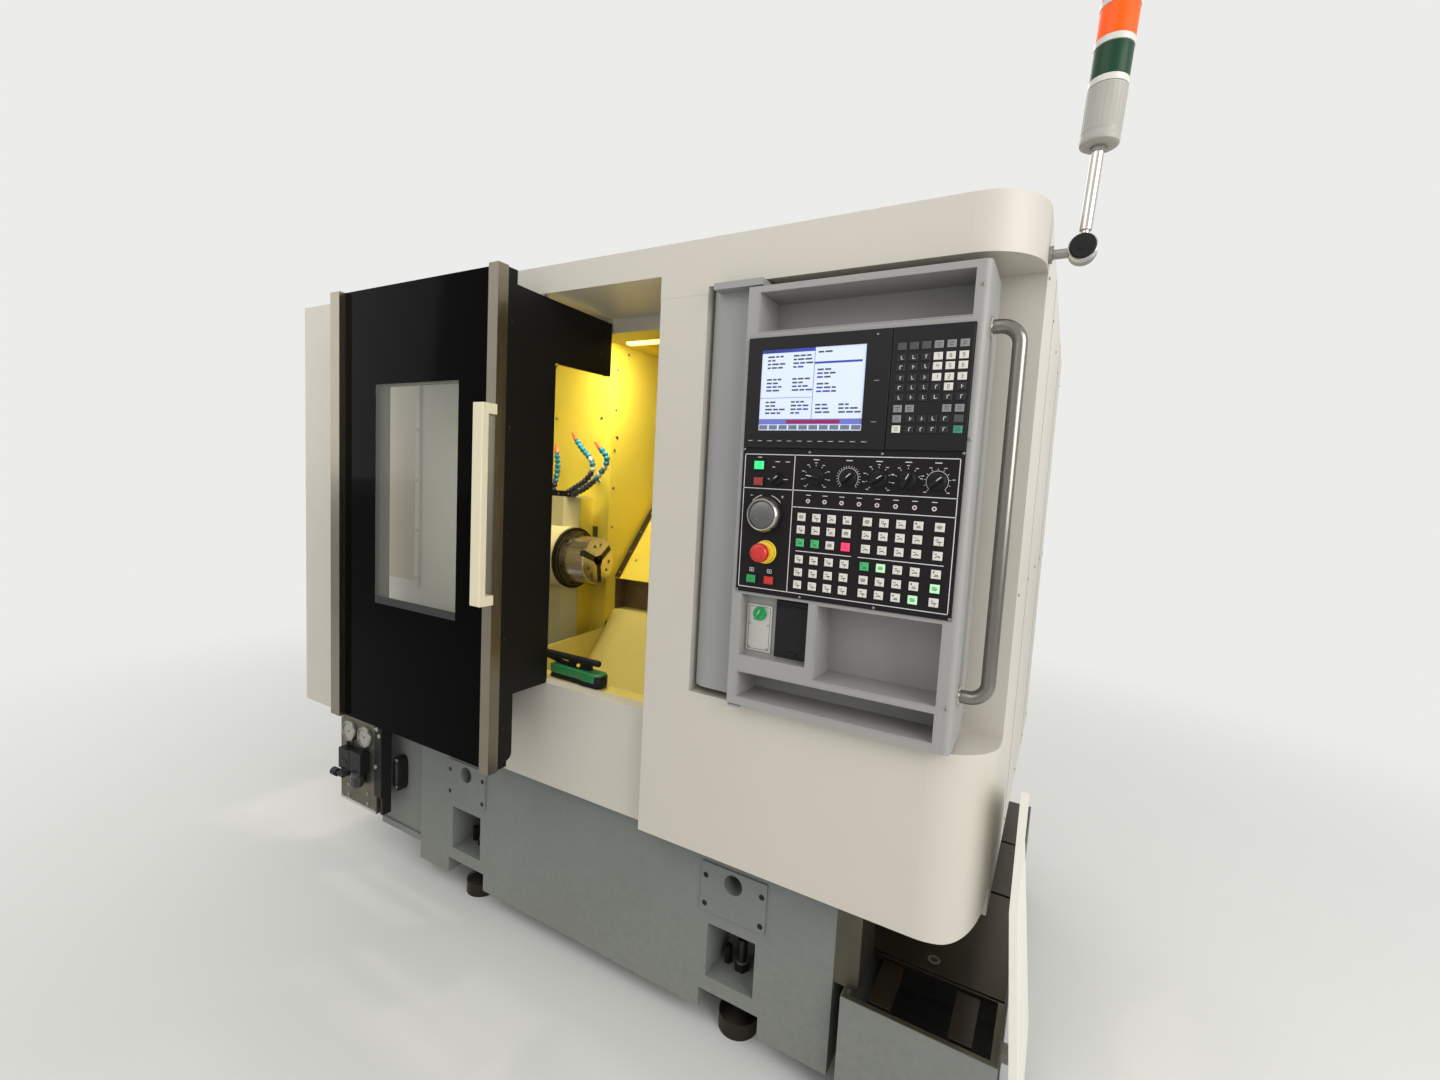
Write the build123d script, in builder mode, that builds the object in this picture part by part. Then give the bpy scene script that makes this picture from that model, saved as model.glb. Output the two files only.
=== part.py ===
# Compact slant-bed turning centre with a sliding door and a swing-out control pendant.
# Frame: X to the operator's right, Y into the machine, Z up, floor at Z = 0.
# The origin lies on the floor under the middle of the machine's outline. Millimetres.

import math
import os

from build123d import *

os.makedirs("parts", exist_ok=True)

# Clearances
running_fit = 0.05
free_gap = 0.3

# Enclosure
enclosure_left = -1133.0
enclosure_right = 1133.0
enclosure_depth = 1500.0
enclosure_bottom = 493.0
enclosure_top = 1868.0
sheet = 3.0
corner_radius = 115.0
guard_reach = 1233.0
header_bottom = 1765.0
column_top = 1749.0
soffit_z = 1800.0
soffit_depth = 255.0

# Column and recess for the pendant
column_left = 361.0
column_right = 487.0
recess_depth = 150.0
cover_top = 867.0

# Door opening
opening_left = -300.0
inset = 33.0
sill_top = 778.0
post_right = -966.0

# Sliding door
door_left = -679.0
door_right = 15.0
door_bottom = 591.0
door_top = 1826.0
door_front = 160.0
trim_width_left = 45.0
trim_width_right = 33.0
glass_front = 142.0
glass_thick = 12.0
handle_reach = 202.0
handle_bottom = 1022.0
handle_top = 1500.0
window_left = -487.0
window_right = -141.0
window_bottom = 955.0
window_top = 1565.0

# The front plane of the enclosure puts the middle of the outline at Y = 0
front_y = -(enclosure_depth - handle_reach) / 2

# Base
base_left = -569.0
base_right = 853.0
base_setback = 60.0
base_depth = 1260.0
base_bottom = 60.0
base_top = enclosure_bottom
wing_left = -782.0
wing_setback = 74.0
wing_depth = 1120.0
wing_bottom = 108.0
foot_stations = (-336.0, 602.0)
foot_setback = 70.0
notch_width = 162.0
notch_top = 112.0
pocket_width = 128.0
pocket_bottom = 150.0
pocket_top = 286.0
pocket_depth = 120.0

# Spindle and headstock
spindle_y = front_y + 491.0
spindle_z = 1052.0
chuck_face_x = -211.0
chuck_radius = 82.5
chuck_length = 95.0
nose_radius = 98.0
nose_length = 12.0
cap_length = 12.0
jaw_count = 3
jaw_width = 22.0
jaw_depth = 16.0

# Slanted bed and guards
bed_slant = 50.0
guard_y = front_y + 585.0
guard_x = -253.0
ceiling_z = 1827.0
slope_foot_y = front_y + 640.0
slope_foot_z = 972.0
chute_lip_z = 855.0

# Pendant
pendant_left = 602.0
pendant_right = 1059.0
pendant_bottom = 875.0
pendant_top = 1742.0
pendant_proud = 30.0
pendant_back = 110.0
unit_x = 612.0
unit_width = 430.0
unit_bottom = 1419.0
unit_height = 219.0
console_bottom = 1121.0
pivot_inset = 14.0
pivot_radius = 6.0

# Signal tower
tower_x = 1186.0
tower_y = front_y + 120.0
tower_z = 1789.0
tower_lean = 3.0
pole_radius = 10.0
housing_low = 166.0
housing_height = 94.0
lens_radius = 30.0
lens_height = 57.0
lens_gap = 6.0
lens_count = 3

# The leaning tower is what reaches furthest right, and the drive cover reaches as far left
tower_height = housing_low + housing_height + lens_count * (lens_height + lens_gap)
lean = math.radians(tower_lean)
side_reach = tower_x + tower_height * math.sin(lean) + (lens_radius + 1.0) * math.cos(lean)

# Coolant tank
tank_left = 880.0
tank_right = 1185.0
tank_top = 283.0
tank_clear = 20.0
tank_depth = 1150.0


def front_plane(y):
    """Sketch plane at depth y: local x is X, local y is Z, the normal faces the operator."""
    return Plane.XZ.offset(-y)


def block(low_a, high_a, low_b, high_b, mode=Mode.ADD):
    """Rectangle between two corners of the sketch in progress."""
    with Locations(((low_a + high_a) / 2, (low_b + high_b) / 2)):
        Rectangle(high_a - low_a, high_b - low_b, mode=mode)


def on_slope(along, above):
    """Depth and height of a point on the slanted bed, from the foot of the way cover."""
    angle = math.radians(bed_slant)
    y = slope_foot_y + along * math.cos(angle) - above * math.sin(angle)
    z = slope_foot_z + along * math.sin(angle) + above * math.cos(angle)
    return (y, z)


def slope_box(low_s, high_s, low_n, high_n):
    """Closed outline on the YZ plane, square to the slanted bed."""
    corners = ((low_s, low_n), (high_s, low_n), (high_s, high_n), (low_s, high_n))
    Polygon(*[on_slope(s, n) for s, n in corners], align=None)


def finish(node, label):
    """Name a finished piece and write it."""
    node.part.label = label
    export_step(node.part, f"parts/{label}.step")


# Cast base with its wing, wrench pockets, foot notches and transport holes
base_front = front_y + base_setback
base_back = base_front + base_depth
wing_front = front_y + wing_setback
bore_radius = 24.0
bore_height = 407.0
pad_thick = 4.0
pad_half = 86.0
pad_bottom = 318.0
pad_top = 440.0
stud_radius = 12.0
foot_y_front = base_front + foot_setback
foot_y_back = base_back - foot_setback
with BuildPart() as base_casting:
    with BuildSketch(front_plane(base_back)):
        block(base_left, base_right, base_bottom, base_top)
    extrude(amount=base_depth)
    base_corner = base_casting.edges().filter_by(Axis.Z).group_by(Axis.X)[0].sort_by(Axis.Y)[0]
    fillet(base_corner, 14.0)
    with BuildSketch(front_plane(wing_front + wing_depth)):
        block(wing_left, base_left, wing_bottom, base_top)
    extrude(amount=wing_depth)
    with BuildSketch(front_plane(wing_front)):
        block(wing_left, base_left, wing_bottom, wing_bottom + 22.0)
    extrude(amount=6.0)
    with BuildSketch(front_plane(base_front)):
        for station in foot_stations:
            block(station - pad_half, station + pad_half, pad_bottom, pad_top)
    extrude(amount=pad_thick)
    for face_y, depth_sign in ((base_front - pad_thick, -1), (base_back, 1)):
        with BuildSketch(front_plane(face_y)):
            for station in foot_stations:
                block(station - notch_width / 2, station + notch_width / 2, base_bottom, notch_top)
                block(station - pocket_width / 2, station + pocket_width / 2, pocket_bottom, pocket_top)
        extrude(amount=depth_sign * (pocket_depth + pad_thick), mode=Mode.SUBTRACT)
    with BuildSketch(front_plane(base_front - pad_thick)):
        for station in foot_stations:
            with Locations((station, bore_height)):
                Circle(bore_radius)
    extrude(amount=-90.0, mode=Mode.SUBTRACT)
    with BuildSketch(Plane.XY.offset(notch_top)):
        for station in foot_stations:
            with Locations((station, foot_y_front), (station, foot_y_back)):
                Circle(stud_radius + 1.0)
    extrude(amount=pocket_bottom - notch_top, mode=Mode.SUBTRACT)
finish(base_casting, "base_casting")

# Levelling feet: pad, stud, nut and the small jack bolt beside it at each station, one group
pad_radius = 50.0
pad_height = 40.0
pad_gap = 2.0
nut_radius = 20.0
nut_height = 20.0
jack_radius = 10.0
jack_offset = 38.0
jack_height = 44.0
stud_top = pocket_bottom + 78.0
with BuildPart() as levelling_feet:
    for station in foot_stations:
        for foot_y in (foot_y_front, foot_y_back):
            with BuildSketch(Plane(origin=(station, foot_y, 0), x_dir=(1, 0, 0), z_dir=(0, -1, 0))):
                with BuildLine():
                    Polyline(
                        (0, 0),
                        (pad_radius, 0),
                        (pad_radius, pad_height),
                        (stud_radius, base_bottom - pad_gap),
                        (stud_radius, stud_top),
                        (0, stud_top),
                        close=True,
                    )
                make_face()
            revolve(axis=Axis((station, foot_y, 0), (0, 0, 1)))
            with BuildSketch(Plane.XY.offset(pocket_bottom)):
                with Locations((station, foot_y)):
                    RegularPolygon(nut_radius, 6)
            extrude(amount=nut_height)
            with BuildSketch(Plane.XY.offset(pocket_bottom)):
                with Locations((station - jack_offset, foot_y)):
                    RegularPolygon(jack_radius, 6)
            extrude(amount=jack_height)
finish(levelling_feet, "levelling_feet")

# Lower right cover and column, one folded sheet
recess_back = front_y + recess_depth
low_corner = 70.0
with BuildPart() as front_cover:
    with BuildSketch(Plane.XY.offset(enclosure_bottom)):
        block(column_left, enclosure_right, front_y, recess_back)
    extrude(amount=cover_top - enclosure_bottom)
    outer_edge = front_cover.edges().filter_by(Axis.Z).group_by(Axis.X)[-1].sort_by(Axis.Y)[0]
    fillet(outer_edge, corner_radius)
    with BuildSketch(Plane.XY.offset(cover_top)):
        block(column_left, column_right, front_y, recess_back)
    extrude(amount=column_top - cover_top)
    with BuildSketch(Plane.XY.offset(enclosure_bottom)) as inner_floor:
        block(column_left + sheet, enclosure_right - sheet, front_y + sheet, recess_back)
        inner_corner = inner_floor.vertices().group_by(Axis.X)[-1].sort_by(Axis.Y)[0]
        fillet(inner_corner, corner_radius - sheet)
    extrude(amount=cover_top - enclosure_bottom - sheet, mode=Mode.SUBTRACT)
    with BuildSketch(Plane.XY.offset(enclosure_bottom)):
        block(column_left + sheet, column_right - sheet, front_y + sheet, recess_back)
    extrude(amount=column_top - enclosure_bottom - sheet, mode=Mode.SUBTRACT)
    with BuildSketch(front_plane(recess_back)):
        block(enclosure_right - low_corner, enclosure_right, enclosure_bottom, enclosure_bottom + low_corner)
        with Locations((enclosure_right - low_corner, enclosure_bottom + low_corner)):
            Circle(low_corner, mode=Mode.SUBTRACT)
    extrude(amount=recess_depth, mode=Mode.SUBTRACT)
    left_edges = front_cover.edges().filter_by(Axis.Z).group_by(Axis.X)[0].sort_by(Axis.Y)[0]
    fillet(left_edges, 2.0)
finish(front_cover, "front_cover")

# Header: deep over the door opening, lower over the pendant, round at the right end
with BuildPart() as header_cover:
    with BuildSketch(Plane.XY.offset(soffit_z)) as header_plan:
        block(enclosure_left, enclosure_right, front_y, front_y + soffit_depth)
        right_corner = header_plan.vertices().group_by(Axis.X)[-1].sort_by(Axis.Y)[0]
        fillet(right_corner, corner_radius)
    extrude(amount=enclosure_top - soffit_z)
    with BuildSketch(Plane.XY.offset(header_bottom)) as header_low:
        block(column_left, enclosure_right, front_y, recess_back)
        right_corner = header_low.vertices().group_by(Axis.X)[-1].sort_by(Axis.Y)[0]
        fillet(right_corner, corner_radius)
    extrude(amount=soffit_z - header_bottom)
    with BuildSketch(Plane.XY.offset(column_top + free_gap)):
        block(column_left, column_right, front_y, recess_back)
    extrude(amount=header_bottom - column_top - free_gap)
finish(header_cover, "header_cover")

# Cover below the door opening
sill_y = front_y + inset
sill_depth = 40.0
with BuildPart() as sill_cover:
    with BuildSketch(Plane.YZ.offset(opening_left)):
        with BuildLine():
            Polyline(
                (sill_y, enclosure_bottom),
                (sill_y + sheet, enclosure_bottom),
                (sill_y + sheet, sill_top - sheet),
                (sill_y + sill_depth, sill_top - sheet),
                (sill_y + sill_depth, sill_top),
                (sill_y, sill_top),
                close=True,
            )
        make_face()
    extrude(amount=column_left - opening_left)
finish(sill_cover, "sill_cover")

# Fixed cover left of the opening: post at the front plane, inset panel with an access pane
pane_left = -860.0
pane_right = -560.0
pane_bottom = 990.0
pane_top = 1620.0
with BuildPart() as left_front_cover:
    with BuildSketch(Plane.XY.offset(enclosure_bottom)):
        with BuildLine():
            Polyline(
                (enclosure_left, recess_back),
                (enclosure_left, front_y),
                (post_right, front_y),
                (post_right, sill_y),
                (opening_left, sill_y),
                (opening_left, sill_y + sheet),
                (post_right - sheet, sill_y + sheet),
                (post_right - sheet, front_y + sheet),
                (enclosure_left + sheet, front_y + sheet),
                (enclosure_left + sheet, recess_back),
                close=True,
            )
        make_face()
    extrude(amount=soffit_z - enclosure_bottom)
    with BuildSketch(front_plane(sill_y)):
        block(pane_left - 18.0, pane_right + 18.0, pane_bottom - 18.0, pane_top + 18.0)
        block(pane_left, pane_right, pane_bottom, pane_top, mode=Mode.SUBTRACT)
    extrude(amount=5.0)
finish(left_front_cover, "left_front_cover")

# Back wall of the pendant recess
with BuildPart() as recess_panel:
    with BuildSketch(front_plane(recess_back + sheet)):
        block(column_left, enclosure_right, enclosure_bottom, soffit_z)
    extrude(amount=sheet)
finish(recess_panel, "recess_panel")

# Shell behind the front covers: end walls, back and roof, with the drive cover on the left
wall_front = recess_back + sheet
wall_back = front_y + enclosure_depth
roof_front = front_y + soffit_depth
drive_front = front_y + 420.0
drive_back = front_y + 1080.0
drive_bottom = 760.0
drive_top = 1380.0
with BuildPart() as enclosure_shell:
    with BuildSketch(Plane.XY.offset(enclosure_bottom)):
        block(enclosure_left, enclosure_right, wall_front, wall_back)
        block(enclosure_left + sheet, enclosure_right - sheet, wall_front, wall_back - sheet, Mode.SUBTRACT)
    extrude(amount=soffit_z - enclosure_bottom)
    with BuildSketch(Plane.XY.offset(soffit_z)):
        block(enclosure_left, enclosure_right, roof_front, wall_back)
        block(
            enclosure_left + sheet,
            enclosure_right - sheet,
            roof_front,
            wall_back - sheet,
            Mode.SUBTRACT,
        )
    extrude(amount=enclosure_top - soffit_z)
    with BuildSketch(Plane.XY.offset(enclosure_top - sheet)):
        block(enclosure_left, enclosure_right, roof_front, wall_back)
    extrude(amount=sheet)
    with BuildSketch(Plane.YZ.offset(enclosure_left)):
        block(drive_front, drive_back, drive_bottom, drive_top)
    extrude(amount=-(side_reach + enclosure_left), taper=6.0)
finish(enclosure_shell, "enclosure_shell")

# Rails that carry the door: a top rail under the header and a bottom guide on the inset panel
rail_left = -700.0
rail_right = -4.0
low_rail_right = -140.0
top_rail_z = 1756.0
low_rail_z = 640.0
rail_depth = 58.0
rail_height = 10.0
hanger_y = front_y + 8.0
hanger_thick = 6.0
with BuildPart() as door_rails:
    with BuildSketch(Plane.YZ.offset(rail_left)):
        with BuildLine():
            Polyline(
                (hanger_y, top_rail_z),
                (front_y - rail_depth, top_rail_z),
                (front_y - rail_depth, top_rail_z + rail_height),
                (hanger_y - hanger_thick, top_rail_z + rail_height),
                (hanger_y - hanger_thick, soffit_z),
                (hanger_y, soffit_z),
                close=True,
            )
        make_face()
    extrude(amount=rail_right - rail_left)
    with BuildSketch(Plane.YZ.offset(rail_left)):
        with BuildLine():
            Polyline(
                (sill_y - free_gap, low_rail_z),
                (front_y - rail_depth, low_rail_z),
                (front_y - rail_depth, low_rail_z + rail_height),
                (sill_y - 6.0, low_rail_z + rail_height),
                (sill_y - 6.0, low_rail_z + 34.0),
                (sill_y - free_gap, low_rail_z + 34.0),
                close=True,
            )
        make_face()
    extrude(amount=low_rail_right - rail_left)
finish(door_rails, "door_rails")

# Beam behind the soffit and the ceiling of the working area
beam_back = front_y + 351.0
beam_bottom = 1760.0
ceiling_right = 760.0
ceiling_back = front_y + 980.0
with BuildPart() as ceiling_panel:
    with BuildSketch(Plane.YZ.offset(opening_left)):
        with BuildLine():
            Polyline(
                (front_y + soffit_depth, soffit_z),
                (front_y + soffit_depth, beam_bottom),
                (beam_back, beam_bottom),
                (beam_back, ceiling_z),
                (ceiling_back, ceiling_z),
                (ceiling_back, ceiling_z + sheet),
                (beam_back - sheet, ceiling_z + sheet),
                (beam_back - sheet, beam_bottom + sheet),
                (front_y + soffit_depth + sheet, beam_bottom + sheet),
                (front_y + soffit_depth + sheet, soffit_z),
                close=True,
            )
        make_face()
    extrude(amount=ceiling_right - opening_left)
finish(ceiling_panel, "ceiling_panel")

# Work light: a diffuser strip under the ceiling
light_width = 60.0
light_y = front_y + 540.0
with BuildPart() as work_light:
    with BuildSketch(Plane.YZ.offset(-170.0)):
        with BuildLine():
            Polyline(
                (light_y, ceiling_z),
                (light_y + 6.0, ceiling_z - 22.0),
                (light_y + light_width - 30.0, ceiling_z - 22.0),
                (light_y + 40.0, ceiling_z),
                close=True,
            )
        make_face()
    extrude(amount=520.0)
finish(work_light, "work_light")

# Headstock with its spindle housing, chamfered foot and hose shelf
stock_left = -720.0
stock_right = -330.0
stock_front = front_y + 475.0
stock_back = front_y + 900.0
stock_bottom = base_top
stock_top = 1270.0
housing_radius = 112.0
shaft_radius = 45.0
with BuildPart() as headstock:
    with BuildSketch(Plane.XY.offset(stock_bottom)) as stock_plan:
        block(stock_left, stock_right, stock_front, stock_back)
        stock_corner = stock_plan.vertices().group_by(Axis.X)[-1].sort_by(Axis.Y)[0]
        chamfer(stock_corner, 40.0)
    extrude(amount=stock_top - stock_bottom)
    with BuildSketch(Plane.YZ.offset(stock_left)):
        with Locations((spindle_y, spindle_z)):
            Circle(housing_radius)
    extrude(amount=stock_right - stock_left)
    with BuildSketch(Plane.YZ.offset(stock_right)):
        with Locations((spindle_y, spindle_z)):
            Circle(housing_radius - 4.0)
    extrude(amount=cap_length)
    with BuildSketch(Plane.YZ.offset(stock_left)):
        with Locations((spindle_y, spindle_z)):
            Circle(shaft_radius + running_fit)
    extrude(amount=stock_right - stock_left + cap_length, mode=Mode.SUBTRACT)
finish(headstock, "headstock")

# Spindle with its nose flange and the drive pulley behind the headstock
nose_x = stock_right + cap_length + 1.0
bar_radius = 24.0
pulley_radius = 95.0
spindle_back = stock_left - 150.0
with BuildPart() as spindle:
    with BuildSketch(Plane.XZ.offset(-spindle_y)):
        with BuildLine():
            Polyline(
                (spindle_back, spindle_z + bar_radius),
                (spindle_back, spindle_z + shaft_radius),
                (stock_left - 90.0, spindle_z + shaft_radius),
                (stock_left - 90.0, spindle_z + pulley_radius),
                (stock_left - 20.0, spindle_z + pulley_radius),
                (stock_left - 20.0, spindle_z + shaft_radius),
                (nose_x, spindle_z + shaft_radius),
                (nose_x, spindle_z + nose_radius),
                (nose_x + nose_length, spindle_z + nose_radius),
                (nose_x + nose_length, spindle_z + bar_radius),
                close=True,
            )
        make_face()
    revolve(axis=Axis((0, spindle_y, spindle_z), (1, 0, 0)))
finish(spindle, "spindle")

# Chuck body with three jaw ways and paired soft-jaw bolt holes
chuck_back = nose_x + nose_length
chuck_plane = Plane(origin=(chuck_face_x, spindle_y, spindle_z), x_dir=(0, 1, 0), z_dir=(1, 0, 0))
jaw_inner = 24.0
jaw_outer = 76.0
jaw_turn = 37.0
bolt_radius = 6.0
bolt_circle = 54.0
bolt_spread = 30.0
center_hole = 20.0
with BuildPart() as chuck_body:
    with BuildSketch(Plane(origin=(chuck_back, spindle_y, spindle_z), x_dir=(0, 1, 0), z_dir=(1, 0, 0))):
        Circle(chuck_radius)
    extrude(amount=chuck_face_x - chuck_back)
    chamfer(chuck_body.faces().sort_by(Axis.X)[-1].edges(), 2.0)
    with BuildSketch(chuck_plane):
        Circle(center_hole)
    extrude(amount=-(chuck_face_x - chuck_back), mode=Mode.SUBTRACT)
    with BuildSketch(chuck_plane):
        with PolarLocations(0, jaw_count, start_angle=jaw_turn):
            with Locations((chuck_radius / 2 + 10.0, 0)):
                Rectangle(chuck_radius + 20.0, jaw_width)
    extrude(amount=-(jaw_depth + 2.0), mode=Mode.SUBTRACT)
    with BuildSketch(chuck_plane):
        with PolarLocations(bolt_circle, jaw_count, start_angle=jaw_turn + 180.0 / jaw_count):
            with GridLocations(0, bolt_spread, 1, 2):
                Circle(bolt_radius)
    extrude(amount=-18.0, mode=Mode.SUBTRACT)
finish(chuck_body, "chuck_body")

# Master jaws, serrated on top
tooth_pitch = 4.0
for jaw_index in range(jaw_count):
    angle = jaw_turn + jaw_index * 360.0 / jaw_count
    turn = math.radians(angle)
    jaw_dir = (0, math.cos(turn), math.sin(turn))
    jaw_plane = Plane(origin=(chuck_face_x - jaw_depth, spindle_y, spindle_z), x_dir=jaw_dir, z_dir=(1, 0, 0))
    with BuildPart() as jaw:
        with BuildSketch(jaw_plane):
            block(jaw_inner, jaw_outer, -jaw_width / 2 + free_gap, jaw_width / 2 - free_gap)
        extrude(amount=jaw_depth - 2.0)
        with BuildSketch(jaw_plane.offset(jaw_depth - 2.0)):
            teeth = int((jaw_outer - jaw_inner) / tooth_pitch)
            for tooth in range(1, teeth):
                with Locations((jaw_inner + tooth * tooth_pitch, 0)):
                    Rectangle(1.6, jaw_width, mode=Mode.ADD)
        extrude(amount=-1.2, mode=Mode.SUBTRACT)
    finish(jaw, f"chuck_jaw_{jaw_index + 1}")

# Guards around the headstock: a front-facing sheet and the sheet that runs back beside the bed
guard_left = -735.0
cheek_top = 1268.0
guard_bottom = 560.0
cheek_bottom = 560.0
guard_back = ceiling_back
with BuildPart() as interior_guard:
    with BuildSketch(front_plane(guard_y + sheet)):
        block(guard_left, guard_x, guard_bottom, ceiling_z)
        block(stock_left - 2.0, stock_right, stock_bottom - 2.0, stock_top + 2.0, Mode.SUBTRACT)
        block(
            stock_right - 1.0,
            chuck_back + 4.0,
            spindle_z - housing_radius,
            spindle_z + housing_radius,
            Mode.SUBTRACT,
        )
    extrude(amount=sheet)
    with BuildSketch(Plane.YZ.offset(stock_right + free_gap)):
        block(stock_front + 42.0, guard_y + sheet, cheek_bottom, cheek_top)
        with Locations((spindle_y, spindle_z)):
            Circle(housing_radius, mode=Mode.SUBTRACT)
    extrude(amount=sheet)
    with BuildSketch(Plane.YZ.offset(guard_x - sheet)):
        with BuildLine():
            Polyline(
                (guard_y, chute_lip_z - 40.0),
                (slope_foot_y, chute_lip_z - 40.0),
                on_slope(0, 1.0),
                (guard_back, on_slope((guard_back - slope_foot_y) / math.cos(math.radians(bed_slant)), 1.0)[1]),
                (guard_back, ceiling_z),
                (guard_y, ceiling_z),
                close=True,
            )
        make_face()
    extrude(amount=sheet)
finish(interior_guard, "interior_guard")

# Slanted way cover with the edge strip beside the guard
cover_right = -60.0
cover_length = 420.0
strip_width = 25.0
with BuildPart() as way_cover:
    with BuildSketch(Plane.YZ.offset(guard_x)):
        slope_box(0, cover_length, 0, sheet)
    extrude(amount=cover_right - guard_x)
    with BuildSketch(Plane.YZ.offset(guard_x)):
        slope_box(0, cover_length, sheet, sheet + 5.0)
    extrude(amount=strip_width)
finish(way_cover, "way_cover")

# Chip chute: ledge behind the sill, trough and the slope up to the way cover
chute_left = guard_x + free_gap
chute_right = 760.0
ledge_depth = 52.0
trough_z = 520.0
trough_front = sill_y + sill_depth + ledge_depth + 12.0
trough_back = front_y + 345.0
wall_y = sill_y + sill_depth + ledge_depth
gap_depth = 60.0
with BuildPart() as chip_chute:
    with BuildSketch(Plane.YZ.offset(chute_left)):
        with BuildLine():
            Polyline(
                (sill_y + sill_depth, sill_top - sheet),
                (wall_y, sill_top - sheet),
                (trough_front, trough_z),
                (trough_back, trough_z),
                (slope_foot_y, chute_lip_z),
                (slope_foot_y + gap_depth, chute_lip_z),
                (slope_foot_y + gap_depth, slope_foot_z + 20.0),
                (slope_foot_y + gap_depth + sheet, slope_foot_z + 20.0),
                (slope_foot_y + gap_depth + sheet, chute_lip_z - sheet),
                (slope_foot_y + 2.0, chute_lip_z - sheet),
                (trough_back + 2.0, trough_z - sheet),
                (trough_front - 2.0, trough_z - sheet),
                (wall_y - 2.0, sill_top - 2 * sheet),
                (sill_y + sill_depth, sill_top - 2 * sheet),
                close=True,
            )
        make_face()
    extrude(amount=chute_right - chute_left)
    with BuildSketch(Plane.YZ.offset(chute_left)):
        Polygon(
            (wall_y, sill_top - sheet),
            (trough_front, trough_z),
            (trough_back, trough_z),
            (guard_y - 2.0, chute_lip_z - 60.0),
            align=None,
        )
    extrude(amount=sheet)
    with BuildSketch(Plane.XY.offset(trough_z - 2 * sheet)):
        block(column_left - 1.0, chute_right, sill_y, recess_back + sheet + 1.0)
    extrude(amount=sill_top - trough_z + 2 * sheet, mode=Mode.SUBTRACT)
finish(chip_chute, "chip_chute")

# Slanted bed with its two guide rails
bed_left = -300.0
bed_right = 830.0
bed_back = front_y + 1300.0
bed_low_along = 70.0
bed_high_along = 560.0
bed_face = -90.0
rail_face = -62.0
rail_stations = (150.0, 430.0)
rail_half = 20.0
bed_low = on_slope(bed_low_along, bed_face)
bed_high = on_slope(bed_high_along, bed_face)
with BuildPart() as slant_bed:
    with BuildSketch(Plane.YZ.offset(bed_left)):
        Polygon(
            (bed_low[0], base_top),
            bed_low,
            bed_high,
            (bed_back, bed_high[1]),
            (bed_back, base_top),
            align=None,
        )
    extrude(amount=bed_right - bed_left)
    with BuildSketch(Plane.YZ.offset(bed_left)):
        for station in rail_stations:
            slope_box(station - rail_half, station + rail_half, bed_face, rail_face)
    extrude(amount=bed_right - bed_left)
finish(slant_bed, "slant_bed")

# Saddle on the rails, with the sliding way cover and the cross ways
saddle_left = 150.0
saddle_right = 340.0
saddle_top = 8.0
carriage_low = 60.0
carriage_high = 500.0
slide_cover_left = -90.0
cross_way_half = 30.0
cross_way_height = 14.0
with BuildPart() as saddle:
    with BuildSketch(Plane.YZ.offset(saddle_left)):
        slope_box(carriage_low, carriage_high, rail_face - 14.0, saddle_top)
        for station in rail_stations:
            with BuildLine():
                gap = rail_half + free_gap
                low = on_slope(station - gap, rail_face - 15.0)
                high = on_slope(station + gap, rail_face - 15.0)
                high_top = on_slope(station + gap, rail_face + free_gap)
                low_top = on_slope(station - gap, rail_face + free_gap)
                Polyline(low, high, high_top, low_top, close=True)
            make_face(mode=Mode.SUBTRACT)
    extrude(amount=saddle_right - saddle_left)
    with BuildSketch(Plane.YZ.offset(slide_cover_left)):
        slope_box(carriage_low, cover_length - 30.0, -6.0, -3.0)
    extrude(amount=saddle_left - slide_cover_left)
    with BuildSketch(Plane.YZ.offset((saddle_left + saddle_right) / 2 - cross_way_half)):
        slope_box(carriage_low, carriage_high, saddle_top, saddle_top + cross_way_height)
    extrude(amount=2 * cross_way_half)
finish(saddle, "saddle")

# Turret carrier on the cross ways
turret_along = 195.0
turret_above = 165.0
carrier_half = 95.0
carrier_low = saddle_top + free_gap
turret_hub = 40.0
way_middle = (saddle_left + saddle_right) / 2
way_side = cross_way_half + free_gap
turret_center = on_slope(turret_along, turret_above)
with BuildPart() as turret_carrier:
    with BuildSketch(Plane.YZ.offset(saddle_left)):
        slope_box(turret_along - carrier_half, turret_along + carrier_half, carrier_low, turret_above + 70.0)
    extrude(amount=saddle_right - saddle_left)
    with BuildSketch(Plane.YZ.offset(way_middle - way_side)):
        slope_box(
            turret_along - carrier_half - 1.0,
            turret_along + carrier_half + 1.0,
            carrier_low - 1.0,
            saddle_top + cross_way_height + free_gap,
        )
    extrude(amount=2 * way_side, mode=Mode.SUBTRACT)
    with BuildSketch(Plane.YZ.offset(saddle_left)):
        with Locations(turret_center):
            Circle(turret_hub + running_fit)
    extrude(amount=60.0, mode=Mode.SUBTRACT)
finish(turret_carrier, "turret_carrier")

# Turret disc with eight tool blocks
turret_left = 70.0
turret_thick = 68.0
turret_radius = 125.0
tool_stations = 8
tool_reach = 153.0
with BuildPart() as turret_disc:
    with BuildSketch(Plane.YZ.offset(turret_left)):
        with Locations(turret_center):
            RegularPolygon(turret_radius, tool_stations)
    extrude(amount=turret_thick)
    with BuildSketch(Plane.YZ.offset(turret_left + 10.0)):
        with Locations(turret_center):
            with PolarLocations((turret_radius + tool_reach) / 2 - 8.0, tool_stations, 22.5):
                Rectangle(tool_reach - turret_radius + 12.0, 40.0)
    extrude(amount=turret_thick - 20.0)
    with BuildSketch(Plane.YZ.offset(turret_left)):
        with Locations(turret_center):
            Circle(turret_hub)
    extrude(amount=saddle_left - turret_left + 55.0)
finish(turret_disc, "turret_disc")

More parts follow.
